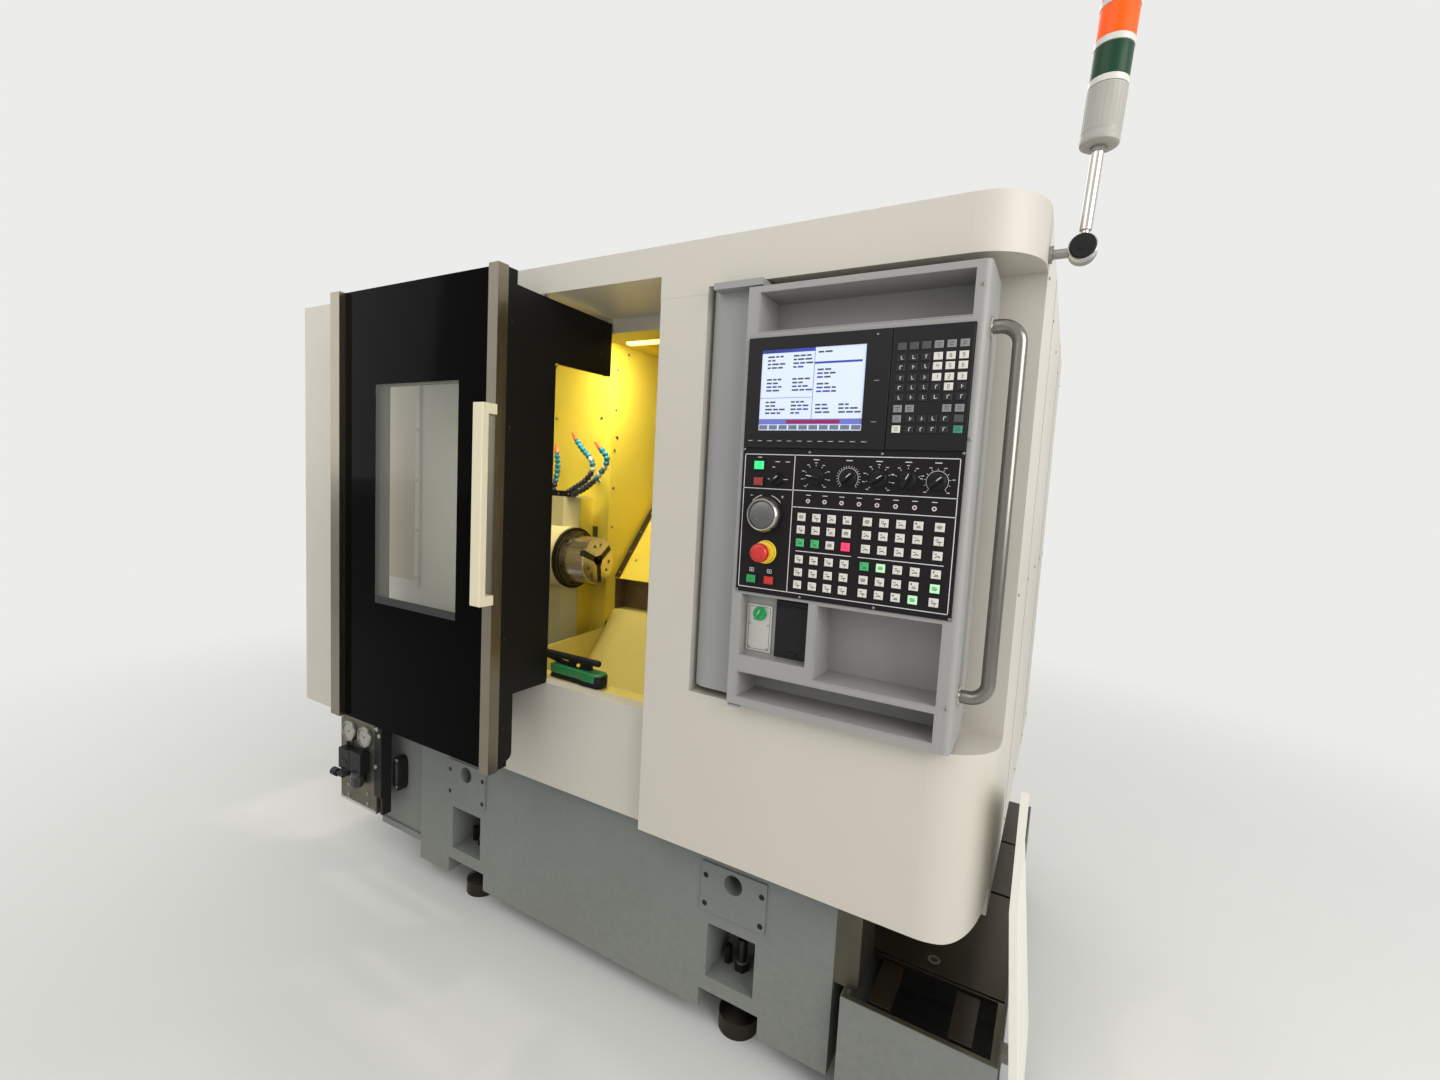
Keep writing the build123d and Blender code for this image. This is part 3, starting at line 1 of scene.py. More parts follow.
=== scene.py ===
# %% [markdown]
# # Dressing a turning centre
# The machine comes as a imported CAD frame: every casting, cover, door and knob is already there, in
# metres, riding on the body that moves it. This notebook gives each of them its finish and adds the
# fine work that a CAD file leaves out, such as printed dials, lit keys, hose cups and lamp lenses.
# The frame is loaded first, because every later piece is placed against it.

# %% Load the frame
import math
import random
from itertools import product

import bmesh
import bpy
from mathutils import Matrix, Vector


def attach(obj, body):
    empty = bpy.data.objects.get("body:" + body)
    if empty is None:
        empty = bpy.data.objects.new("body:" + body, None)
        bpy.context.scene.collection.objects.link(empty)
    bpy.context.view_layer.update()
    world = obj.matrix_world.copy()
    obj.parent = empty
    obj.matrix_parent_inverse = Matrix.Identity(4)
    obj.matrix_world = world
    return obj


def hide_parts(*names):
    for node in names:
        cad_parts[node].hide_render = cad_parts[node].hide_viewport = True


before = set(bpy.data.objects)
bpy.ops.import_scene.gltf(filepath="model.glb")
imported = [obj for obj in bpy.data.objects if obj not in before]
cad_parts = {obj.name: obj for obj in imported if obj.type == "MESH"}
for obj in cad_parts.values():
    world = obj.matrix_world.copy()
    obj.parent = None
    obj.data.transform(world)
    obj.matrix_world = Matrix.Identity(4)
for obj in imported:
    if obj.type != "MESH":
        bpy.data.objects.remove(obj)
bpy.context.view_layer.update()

# %% [markdown]
# Machine builders measure from the front plane of the enclosure, in millimetres. The same habit
# makes this notebook easy to check against a drawing, so each mesh is drawn in those millimetres
# and one matrix brings it into the frame's metres.

# %% Shop millimetres to frame metres
FRONT = -0.649
SHOP = Matrix.Translation((0.0, FRONT, 0.0)) @ Matrix.Diagonal((0.001, 0.001, 0.001, 1.0))
TO_OPERATOR = (0, -1, 0)
TO_RIGHT = (1, 0, 0)
TO_LEFT = (-1, 0, 0)
UP = (0, 0, 1)
DOWN = (0, 0, -1)


def shop(x, y, z):
    """A point in shop millimetres, in the frame's metres."""
    return SHOP @ Vector((x, y, z))


print("front plane at", round(shop(0, 0, 0).y, 3), "m")

# %% [markdown]
# A mesh piece is always finished the same way: bring it to metres, link it, give it its materials,
# put it on its body and let it stand for the CAD node it replaces. One function does that, so that
# no piece is left without a body. Edges get a small bevel there, since real sheet and plastic never
# end in a knife edge and it is the bevel that catches the light.

# %% Finish a mesh piece
SHARP_FROM = 40.0


def round_edges(piece, width_mm, segments=2):
    """Bevel the sharp edges of a piece by that many millimetres."""
    bevel = piece.modifiers.new("round_edges", "BEVEL")
    bevel.width = width_mm / 1000.0
    bevel.segments = segments
    bevel.limit_method = "ANGLE"
    bevel.angle_limit = math.radians(SHARP_FROM)


def settle(name, bm, materials, body, stands_for=(), bevel=0.0, smooth=35.0, segments=2):
    """Turn a bmesh drawn in shop millimetres into a finished piece on its body."""
    mesh = bpy.data.meshes.new(name)
    bmesh.ops.transform(bm, matrix=SHOP, verts=bm.verts)
    bm.to_mesh(mesh)
    bm.free()
    piece = bpy.data.objects.new(name, mesh)
    bpy.context.scene.collection.objects.link(piece)
    for material in materials:
        mesh.materials.append(material)
    mesh.shade_smooth()
    mesh.set_sharp_from_angle(angle=math.radians(smooth))
    if bevel:
        round_edges(piece, bevel, segments)
    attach(piece, body)
    if stands_for:
        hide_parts(*stands_for)
    print(name, "has", len(mesh.polygons), "faces and rides", body)


print("pieces are finished by settle")

# %% [markdown]
# Most of the small work is made of three forms: a box, a turned part, and a round bar between two
# points. Each helper only adds to a bmesh, so one piece can gather many of them, the way a row of
# screws or a field of keys is one group on the real machine.

# %% Forms used again and again
def around(count, radius, first=0.0):
    """Pairs of coordinates at equal steps on a circle, the first of them at that many degrees."""
    for step in range(count):
        turn = math.radians(first) + 2 * math.pi * step / count
        yield radius * math.cos(turn), radius * math.sin(turn)


def aim(axis):
    """Rotation that carries +Z to that direction."""
    return Vector(UP).rotation_difference(Vector(axis).normalized()).to_matrix().to_4x4()


def add_box(bm, low, high, slot=0):
    """A box between two corners, in shop millimetres."""
    verts = bmesh.ops.create_cube(bm, size=1.0)["verts"]
    size = [h - l for l, h in zip(low, high)]
    middle = [(h + l) / 2 for l, h in zip(low, high)]
    matrix = Matrix.Translation(middle) @ Matrix.Diagonal((*size, 1.0))
    bmesh.ops.transform(bm, matrix=matrix, verts=verts)
    for vert in verts:
        for face in vert.link_faces:
            face.material_index = slot
    return verts


def add_turned(bm, centre, axis, profile, steps=32, slot=0, joined=False, ribs=0.0):
    """A turned part: pairs of radius and height along the axis. A joined profile closes on itself,
    and ribs draws every other point of a ring inward by that share of its radius."""
    matrix = Matrix.Translation(centre) @ aim(axis)
    rings = []
    for radius, height in profile:
        count = steps if radius > 1e-6 else 1
        rings.append([])
        for step, (x, y) in enumerate(around(count, radius)):
            share = 1.0 - ribs * (step % 2)
            rings[-1].append(bm.verts.new(matrix @ Vector((share * x, share * y, height))))
    if joined:
        rings.append(rings[0])
    for low, high in zip(rings[:-1], rings[1:]):
        for step in range(steps):
            corners = [ring[turn % len(ring)] for ring, turn in
                       ((low, step), (low, step + 1), (high, step + 1), (high, step))]
            corners = list(dict.fromkeys(corners))
            if len(corners) > 2:
                bm.faces.new(corners).material_index = slot
    for ring in (rings[0][::-1], rings[-1]):
        if len(ring) > 1 and not joined:
            bm.faces.new(ring).material_index = slot


def add_bar(bm, start, end, radius, steps=16, slot=0):
    """A round bar between two points."""
    reach = Vector(end) - Vector(start)
    add_turned(bm, start, reach, [(radius, 0.0), (radius, reach.length)], steps, slot)


print("forms ready: box, turned part, bar")

# %% [markdown]
# Materials are trees of small nodes. To keep the recipes readable, one helper makes a node, sets it
# up, and fills each input either with a value or with a link from another node. Groups get their
# sockets from two short tables, one for what they take and one for what they give.

# %% Helpers for materials
def add_node(tree, kind, inputs=(), **settings):
    """A shader node; each named or numbered input is linked to a socket or set to a value."""
    node = tree.nodes.new("ShaderNode" + kind)
    for name, value in settings.items():
        setattr(node, name, value)
    for key, value in dict(inputs).items():
        if isinstance(value, bpy.types.NodeSocket):
            tree.links.new(value, node.inputs[key])
        else:
            node.inputs[key].default_value = value
    return node


def maths(tree, operation, *parts):
    """The result of one sum on values or sockets."""
    return add_node(tree, "Math", dict(enumerate(parts)), operation=operation).outputs[0]


def noise(tree, place, scale, detail, roughness):
    """The grey of a noise texture read at the given coordinates."""
    inputs = {"Vector": place, "Scale": scale, "Detail": detail, "Roughness": roughness}
    return add_node(tree, "TexNoise", inputs).outputs["Fac"]


def spread(tree, value, low, high, to_low=0.0, to_high=1.0, **settings):
    """A value stretched from one range to another, and held inside it."""
    inputs = {"Value": value, "From Min": low, "From Max": high, "To Min": to_low, "To Max": to_high}
    return add_node(tree, "MapRange", inputs, **settings).outputs["Result"]


def blend(tree, share, colour, other, blend_type="MIX"):
    """One colour laid over another by that share."""
    inputs = {"Factor": share, "A": colour, "B": other}
    return add_node(tree, "Mix", inputs, data_type="RGBA", blend_type=blend_type).outputs["Result"]


def new_group(name, takes, gives):
    """A node group with its sockets; returns it with what comes in and its place for results."""
    group = bpy.data.node_groups.new(name, "ShaderNodeTree")
    for label, value in takes.items():
        kind = {4: "Color", 3: "Vector"}[len(value)] if isinstance(value, tuple) else "Float"
        socket = group.interface.new_socket(name=label, in_out="INPUT", socket_type="NodeSocket" + kind)
        socket.default_value = value
    for label, kind in gives.items():
        group.interface.new_socket(name=label, in_out="OUTPUT", socket_type="NodeSocket" + kind)
    start = group.nodes.new("NodeGroupInput")
    return group, start.outputs, group.nodes.new("NodeGroupOutput")


def deliver(group, end, **results):
    """Link each result to the group's output of that name."""
    for label, socket in results.items():
        group.links.new(socket, end.inputs[label])
    print("group", group.name, "gives", list(results))


print("node helpers ready")

# %% [markdown]
# Painted sheet is never one colour. A roller or spray coat has a fine orange-peel grain, and years
# of coolant mist and hands leave slow patches of darker tone. Every painted finish here needs both,
# so they are one node group, built once: it takes the paint colour and gives back the varied
# colour, a roughness that varies with it, and the height of the grain for a bump.

# %% A coat of paint as a node group
GRIME = (0.62, 0.60, 0.54, 1)
DUST = (0.30, 0.28, 0.24, 1)
DUST_TOP = 0.75
PATCH_SCALE, SPECK_SCALE = 3.0, 70.0


def build_coat():
    takes = {"Colour": (0.8, 0.8, 0.8, 1), "Patches": 0.1, "Grain Scale": 900.0,
             "Roughness": 0.45, "Dust": 0.0}
    gives = {"Colour": "Color", "Roughness": "Float", "Grain": "Float"}
    group, start, end = new_group("coat_of_paint", takes, gives)
    place = add_node(group, "TexCoord").outputs["Object"]
    patches = spread(group, noise(group, place, PATCH_SCALE, 5.0, 0.6), 0.35, 0.7)
    amount = maths(group, "MULTIPLY", patches, start["Patches"])
    darker = blend(group, amount, start["Colour"], GRIME, "MULTIPLY")
    height = add_node(group, "SeparateXYZ", {"Vector": place}).outputs["Z"]
    low_part = spread(group, height, DUST_TOP, 0.0)
    specks = maths(group, "MULTIPLY", low_part, noise(group, place, SPECK_SCALE, 4.0, 0.7))
    dusty = blend(group, maths(group, "MULTIPLY", specks, start["Dust"]), darker, DUST)
    rough = maths(group, "MULTIPLY_ADD", amount, 0.5, start["Roughness"])
    grain = noise(group, place, start["Grain Scale"], 2.0, 0.5)
    deliver(group, end, Colour=dusty, Roughness=rough, Grain=grain)
    return group


coat_group = build_coat()

# %% [markdown]
# Colours are easiest to judge as the eye sees them on a screen, while the shader wants linear
# light. A small converter lets every finish be written with the familiar 0 to 255 values. The maker
# then places a group in a material, ties its height to a bump and sets the steady values on the
# shader itself.

# %% Paint maker
def tint(red, green, blue):
    """A screen colour as the linear colour the shader works in."""
    def linear(value):
        part = value / 255.0
        return part / 12.92 if part <= 0.04045 else ((part + 0.055) / 1.055) ** 2.4
    return (linear(red), linear(green), linear(blue), 1.0)


def new_material(name, steady):
    """A material, its tree and its shader, with the steady values set on the shader."""
    material = bpy.data.materials.new(name)
    material.use_nodes = True
    shader = material.node_tree.nodes["Principled BSDF"]
    for key, value in steady.items():
        shader.inputs[key].default_value = value
    return material, material.node_tree, shader


def finish(name, group, inputs, height, strength, distance, steady):
    """A material whose colour, roughness and bump come from a group."""
    material, tree, shader = new_material(name, steady)
    given = add_node(tree, "Group", inputs, node_tree=group).outputs
    relief = {"Strength": strength, "Distance": distance, "Height": given[height]}
    tree.links.new(given["Colour"], shader.inputs["Base Color"])
    tree.links.new(given["Roughness"], shader.inputs["Roughness"])
    tree.links.new(add_node(tree, "Bump", relief).outputs["Normal"], shader.inputs["Normal"])
    return material


def paint(name, screen, roughness=0.45, patches=0.12, grain=0.15, grain_scale=900.0, dust=0.0,
          metallic=0.0, specular=0.5, steady=()):
    """A painted or moulded surface made from the coat group."""
    inputs = {"Colour": tint(*screen), "Patches": patches, "Grain Scale": grain_scale,
              "Roughness": roughness, "Dust": dust}
    steady = {"Metallic": metallic, "Specular IOR Level": specular, **dict(steady)}
    return finish(name, coat_group, inputs, "Grain", grain, 0.0004, steady)


cover_white = paint("cover_white", (196, 191, 180), 0.42, 0.08, 0.25, 700.0, 0.12)
base_green = paint("base_grey_green", (108, 115, 112), 0.5, 0.35, 0.5, 260.0, 0.6)
guard_yellow = paint("guard_yellow", (248, 224, 82), 0.38, 0.25, 0.15, 600.0)
# The castings' yellow is partly their cream paint and partly painted light: bounce from the yellow guard laid
# into the colour.
casting_cream_and_yellow_bounce = paint("casting_cream_and_yellow_bounce", (222, 212, 156), 0.5, 0.3, 0.4, 300.0)
housing_grey = paint("housing_grey", (150, 149, 147), 0.45, 0.15, 0.3, 800.0)
post_grey = paint("post_grey", (146, 146, 146), 0.45, 0.15, 0.3, 800.0)
door_black = paint("door_black", (16, 15, 13), 0.42, 0.1, 0.35, 600.0, specular=0.2)
panel_violet = paint("panel_violet_grey", (27, 24, 27), 0.5, 0.1, 0.2, 1500.0, specular=0.15)
key_ivory = paint("key_ivory", (212, 210, 202), 0.4, 0.1, 0.1, 2000.0)
pull_cream = paint("pull_cream", (222, 213, 184), 0.35, 0.15, 0.1, 900.0)
soft_black = paint("soft_black", (22, 22, 23), 0.45, 0.1, 0.2, 1500.0, specular=0.25)
guard_white = paint("guard_white", (228, 225, 214), 0.4, 0.1, 0.25, 700.0, 0.12)
chute_yellow = paint("chute_yellow", (228, 212, 122), 0.3, 0.3, 0.1, 400.0)
print(len(bpy.data.materials), "materials so far")

# %% [markdown]
# Bare steel and stainless show how they were worked: fine lines that run one way, and faint cloudy
# marks from handling. Stretching a noise along one axis gives the lines. Several finishes share it,
# so it is a group as well, and each material says how long and how deep its lines are.

# %% Worked metal as a node group
TARNISH = (0.45, 0.42, 0.36, 1)
CLOUD_SCALE = 14.0


def build_lines():
    takes = {"Colour": (0.6, 0.6, 0.6, 1), "Stretch": (900.0, 900.0, 12.0), "Cloud": 0.2,
             "Roughness": 0.3}
    gives = {"Colour": "Color", "Roughness": "Float", "Lines": "Float"}
    group, start, end = new_group("worked_lines", takes, gives)
    place = add_node(group, "TexCoord").outputs["Object"]
    stretched = add_node(group, "VectorMath", {0: place, 1: start["Stretch"]}, operation="MULTIPLY")
    lines = noise(group, stretched.outputs["Vector"], 1.0, 3.0, 0.6)
    clouds = noise(group, place, CLOUD_SCALE, 4.0, 0.6)
    amount = maths(group, "MULTIPLY", clouds, start["Cloud"])
    darker = blend(group, amount, start["Colour"], TARNISH, "MULTIPLY")
    rough = maths(group, "MULTIPLY_ADD", lines, 0.18, start["Roughness"])
    deliver(group, end, Colour=darker, Roughness=rough, Lines=lines)
    return group


lines_group = build_lines()


def metal(name, screen, roughness, stretch, cloud, depth=0.15):
    """Bare worked metal made from the lines group."""
    inputs = {"Colour": tint(*screen), "Stretch": stretch, "Cloud": cloud, "Roughness": roughness}
    return finish(name, lines_group, inputs, "Lines", depth, 0.0002, {"Metallic": 1.0})


EVEN = (300.0, 300.0, 300.0)
TURNED = (40.0, 900.0, 900.0)
trim_steel = metal("trim_stainless", (146, 138, 124), 0.16, (900.0, 900.0, 6.0), 0.35)
rail_chrome = metal("rail_chrome", (205, 203, 196), 0.08, (500.0, 500.0, 20.0), 0.15, 0.03)
rail_steel = metal("rail_steel", (138, 136, 130), 0.16, (700.0, 700.0, 20.0), 0.3, 0.05)
worn_plate = metal("worn_stainless", (128, 126, 112), 0.4, (14.0, 700.0, 300.0), 0.9)
ground_steel = metal("ground_steel", (222, 210, 182), 0.18, TURNED, 0.4)
plain_steel = metal("plain_steel", (168, 168, 164), 0.32, EVEN, 0.3)
dark_steel = metal("dark_steel", (66, 62, 56), 0.35, EVEN, 0.4)
nose_steel = metal("nose_steel", (104, 96, 80), 0.3, TURNED, 0.5)
jaw_steel = metal("jaw_steel", (92, 88, 78), 0.3, (200.0, 900.0, 900.0), 0.4)
dull_zinc = metal("dull_zinc", (104, 100, 90), 0.42, (200.0, 200.0, 20.0), 0.6)
print("worked metals ready")

# %% [markdown]
# Push buttons, lamp lenses and the screen are moulded or lit, not painted. A clear coloured plastic
# is a smooth shader with a little colour noise, and a lit one adds emission of the same hue at a
# modest strength, so that it glows without lighting the whole panel.

# %% Plastics and lit faces
def plastic(name, screen, roughness=0.25, glow=0.0, patches=0.08, varnish=0.3, specular=0.5):
    """A moulded colour, lit from inside when glow is above zero."""
    steady = {"Coat Weight": varnish}
    if glow:
        steady.update({"Emission Color": tint(*screen), "Emission Strength": glow})
    return paint(name, screen, roughness, patches, 0.05, 1500.0, specular=specular, steady=steady)


go_green = plastic("go_green", (20, 150, 80), 0.3)
lit_green = plastic("lit_green", (40, 230, 110), 0.3, 1.2)
stop_red = plastic("stop_red", (196, 34, 30), 0.3)
dark_red = plastic("dark_red", (150, 40, 36), 0.3)
safety_yellow = plastic("safety_yellow", (232, 200, 40), 0.35)
print("plastics ready")

# %% [markdown]
# With the finishes named, the CAD nodes that already have their final shape get theirs. Sheet covers
# are kept as they came from the CAD file, since folds and corner radii are modelled there, and only
# their sharp folds are eased with a bevel, in millimetres.

# %% Finishes for the CAD nodes that stay
FINISHES = (
    (cover_white, 2.0, "front_cover header_cover enclosure_shell"),
    (cover_white, 1.0, "sill_cover left_front_cover recess_panel"),
    (base_green, 3.0, "base_casting"),
    (base_green, 1.0, "coolant_tank"),
    (guard_yellow, 1.0, "ceiling_panel interior_guard way_cover"),
    (chute_yellow, 1.0, "chip_chute"),
    (guard_white, 0.5, "tank_guard"),
    # The castings take cream paint with painted yellow bounce light in it.
    (casting_cream_and_yellow_bounce, 4.0, "headstock"),
    (casting_cream_and_yellow_bounce, 3.0, "slant_bed turret_carrier"),
    (casting_cream_and_yellow_bounce, 2.0, "saddle"),
    (door_black, 0.8, "door_frame"),
    (door_black, 0.6, "door_side_plate"),
    (trim_steel, 0.6, "door_trims"),
    (pull_cream, 1.5, "door_handle"),
    (plain_steel, 0.5, "door_rails door_rollers"),
    (plain_steel, 0.8, "tower_bracket"),
    (post_grey, 1.0, "pendant_post"),
    (housing_grey, 1.5, "pendant_housing"),
    (panel_violet, 0.5, "operation_panel"),
    (rail_steel, 0.0, "grab_rail"),
    (soft_black, 0.5, "media_cover"),
    (worn_plate, 1.0, "air_unit_plate"),
    (dull_zinc, 0.5, "drain_spout"),
    (dark_steel, 1.0, "levelling_feet"),
    (nose_steel, 0.8, "spindle"),
    (ground_steel, 0.0, "chuck_body"),
    (ground_steel, 1.0, "turret_disc"),
    (jaw_steel, 0.0, "chuck_jaw_1 chuck_jaw_2 chuck_jaw_3"),
)
for material, bevel_mm, names in FINISHES:
    for node_name in names.split():
        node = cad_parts[node_name]
        node.data.materials.clear()
        node.data.materials.append(material)
        if bevel_mm:
            round_edges(node, bevel_mm, 1)
print("finishes given to", sum(len(names.split()) for _, _, names in FINISHES), "CAD nodes")

# %% [markdown]
# More forms are needed for sheet and plastic: a prism drawn as an outline and pushed along an axis,
# a plate with a window in it, and a ring. All are loops of points with a skin between them. Small
# printed marks are thin raised boxes, so that they stay sharp at any distance and need no image.

# %% Prisms, frames, rings and marks
def skin(bm, loops, slot=0, closed=False):
    """Faces between each loop of points and the next. The ends are capped, or joined when closed."""
    faces = [] if closed else [bm.faces.new(loops[0]), bm.faces.new(loops[-1][::-1])]
    for one, other in zip(loops, loops[1:] + loops[:closed]):
        for index in range(len(one)):
            after = (index + 1) % len(one)
            faces.append(bm.faces.new([one[index], other[index], other[after], one[after]]))
    for face in faces:
        face.material_index = slot
    bmesh.ops.recalc_face_normals(bm, faces=faces)


def box_rect(x, z, half_width, half_height):
    """Limits of a rectangle that faces the operator: x low, x high, z low, z high."""
    return (x - half_width, x + half_width, z - half_height, z + half_height)


def rect_loop(bm, rect, y, inset=0.0):
    """The four corners of such a rectangle, drawn in by the inset."""
    x0, x1, z0, z1 = rect[0] + inset, rect[1] - inset, rect[2] + inset, rect[3] - inset
    return [bm.verts.new((x, y, z)) for x, z in ((x0, z0), (x1, z0), (x1, z1), (x0, z1))]


def add_prism(bm, axis, outline, low, high, slot=0):
    """An outline pushed along X, Y or Z; its points name the two other coordinates in order."""
    def corner(point, along):
        first, second = point
        return {"X": (along, first, second), "Y": (first, along, second), "Z": (first, second, along)}[axis]
    skin(bm, [[bm.verts.new(corner(point, along)) for point in outline] for along in (low, high)], slot)


def add_frame(bm, outer, inner, front, back, slot=0):
    """A plate facing the operator with a rectangular window."""
    places = ((outer, front), (inner, front), (inner, back), (outer, back))
    skin(bm, [rect_loop(bm, rect, y) for rect, y in places], slot, True)


def add_cap(bm, rect, base, front, ease, slot=0):
    """A key cap that faces the operator, its front edge eased all round."""
    places = ((base, 0.0), (front + ease, 0.0), (front, ease))
    skin(bm, [rect_loop(bm, rect, y, inset) for y, inset in places], slot)


def add_ring(bm, centre, axis, inner, outer, height, steps=40, slot=0, start=0.0, end=360.0):
    """A flat ring or an arc of one, raised along the axis."""
    matrix = Matrix.Translation(centre) @ aim(axis)
    whole = end - start >= 359.9
    profile = ((inner, 0.0), (outer, 0.0), (outer, height), (inner, height))
    sections = []
    for step in range(steps if whole else steps + 1):
        turn = math.radians(start + (end - start) * step / steps)
        points = [Vector((r * math.cos(turn), r * math.sin(turn), h)) for r, h in profile]
        sections.append([bm.verts.new(matrix @ point) for point in points])
    skin(bm, sections, slot, whole)


def add_mark(bm, x, z, width, height, y, slot=0, turn=0.0, rise=0.25):
    """A printed stroke on a face that looks at the operator, turned by degrees."""
    verts = add_box(bm, (-width / 2, -rise, -height / 2), (width / 2, 0.0, height / 2), slot)
    matrix = Matrix.Translation((x, y, z)) @ Matrix.Rotation(math.radians(-turn), 4, "Y")
    bmesh.ops.transform(bm, matrix=matrix, verts=verts)


def add_screws(bm, centres, axis, radius, slot=0, socket_shade_slot=1):
    """Low round screw heads; each hexagon socket is a raised black hexagon, painted shade for the recess."""
    head = ((1.0, 0.0), (1.0, 0.5), (0.8, 0.68), (0.0, 0.7))
    # The socket is drawn raised and black: painted shade that stands for the dark recess of a hexagon socket.
    socket = ((0.42, 0.7), (0.42, 0.74), (0.0, 0.74))
    for centre in centres:
        for form, steps, part in ((head, 20, slot), (socket, 6, socket_shade_slot)):
            add_turned(bm, centre, axis, [(radius * r, radius * h) for r, h in form], steps, part)


print("prism, frame, cap, ring, mark and screw ready")

# %% [markdown]
# Glass needs care. The door's pane is one sheet printed black, with a clear window left in the
# print, so border and window share one outline and lie in one plane. The border is glossy black; the
# window is a thin smoky film that lets the fixed cover behind it show through.

# %% Glass finishes
def glass(name, screen, cover, roughness=0.03):
    """Smoked glass: a film that covers that share of what lies behind it, with faint smears."""
    steady = {"Base Color": tint(*screen), "Alpha": cover, "Specular IOR Level": 0.4}
    material, tree, shader = new_material(name, steady)
    place = add_node(tree, "TexCoord").outputs["Object"]
    smears = noise(tree, place, 6.0, 4.0, 0.65)
    gloss = spread(tree, smears, 0.4, 0.75, roughness, roughness + 0.05)
    tree.links.new(gloss, shader.inputs["Roughness"])
    return material


def clear_coat(name, screen, roughness, patches, specular):
    """A printed or tinted face behind gloss."""
    return paint(name, screen, roughness, patches, 0.02, 5.0, specular=specular)


black_glass = clear_coat("black_glass", (4, 5, 4), 0.06, 0.05, 0.02)
smoked_glass = glass("smoked_glass", (188, 192, 178), 0.14)
dark_band = clear_coat("dark_band", (50, 54, 52), 0.08, 0.05, 0.2)
brown_pane = clear_coat("brown_access_pane", (176, 160, 134), 0.12, 0.3, 0.3)
print("glass ready")

# %% [markdown]
# The pane is drawn as a grid of cells over its front and back. The middle cell of the front is the
# window, and a narrow band under it is printed in a lighter grey; the back is clear all over. Only
# the material of each cell changes, so the sheet stays one closed solid.

# %% Door pane
PANE_COLUMNS = (-634.0, -487.0, -141.0, -18.0)
PANE_ROWS = (591.0, 955.0, 977.0, 1565.0, 1826.0)
PANE_FACES = (-142.0, -130.3)
BORDER, CLEAR, BAND = range(3)


def build_pane():
    bm = bmesh.new()
    last_i, last_j = len(PANE_COLUMNS) - 1, len(PANE_ROWS) - 1
    grid = {}
    for side, i, j in product(range(2), range(last_i + 1), range(last_j + 1)):
        grid[side, i, j] = bm.verts.new((PANE_COLUMNS[i], PANE_FACES[side], PANE_ROWS[j]))

    def cell(slot, *corners):
        bm.faces.new([grid[corner] for corner in corners]).material_index = slot

    for side, i, j in product(range(2), range(last_i), range(last_j)):
        slot = CLEAR if side else {(1, 2): CLEAR, (1, 1): BAND}.get((i, j), BORDER)
        cell(slot, (side, i, j), (side, i + 1, j), (side, i + 1, j + 1), (side, i, j + 1))
    for i, j in product(range(last_i), (0, last_j)):
        cell(BORDER, (0, i, j), (0, i + 1, j), (1, i + 1, j), (1, i, j))
    for j, i in product(range(last_j), (0, last_i)):
        cell(BORDER, (0, i, j), (0, i, j + 1), (1, i, j + 1), (1, i, j))
    bmesh.ops.recalc_face_normals(bm, faces=bm.faces)
    settle("door_pane", bm, [black_glass, smoked_glass, dark_band], "door", ["door_glass"])


build_pane()

# %% [markdown]
# The door carries small hardware: screws that hold the side plate to the trim, more screws on the
# plate's arm, and a rubber edge inside the closing side of the plate. The fixed cover behind the
# window has its own small access pane of brown plastic.

# %% Door hardware and access pane
PLATE_FACE = 15.0
bm = bmesh.new()
add_screws(bm, product([PLATE_FACE], [-118.0], (700.0, 930.0, 1190.0, 1450.0, 1700.0)), TO_RIGHT, 4.0)
add_screws(bm, product([PLATE_FACE], [200.0], (1690.0, 1745.0)), TO_RIGHT, 4.0)
settle("side_plate_screws", bm, [dark_steel, soft_black], "door")

SEAL_LOW, SEAL_HIGH = 12.6, 14.4
bm = bmesh.new()
add_prism(bm, "X", [(48.0, 1632.2), (243.0, 1636.8), (243.0, 1634.6), (48.0, 1630.0)], SEAL_LOW, SEAL_HIGH)
add_box(bm, (SEAL_LOW, 28.8, 790.0), (SEAL_HIGH, 31.2, 1613.5))
add_ring(bm, (SEAL_LOW, 47.0, 1614.0), TO_RIGHT, 15.8, 18.2, 1.8, 10, 0, 180.0, 270.0)
settle("side_plate_seal", bm, [soft_black], "door")

bm = bmesh.new()
add_box(bm, (-860.0, 29.5, 990.0), (-560.0, 32.7, 1620.0))
places = product((-869.0, -551.0), [28.0], (1000.0, 1150.0, 1305.0, 1460.0, 1610.0))
add_screws(bm, places, TO_OPERATOR, 4.0, 1, 2)
settle("access_pane", bm, [brown_pane, plain_steel, soft_black], "machine")

# %% [markdown]
# The control unit is two halves in one housing. The left half frames the screen and a row of soft
# keys, the right half is a field of small square keys. The screen is lit: a pale page with columns
# of short strokes, a blue bar and a red one, all generic.

# %% Lit screen colours
def screen_ink(name, screen, glow):
    """A colour of the lit page."""
    return plastic(name, screen, 0.3, glow, 0.02)


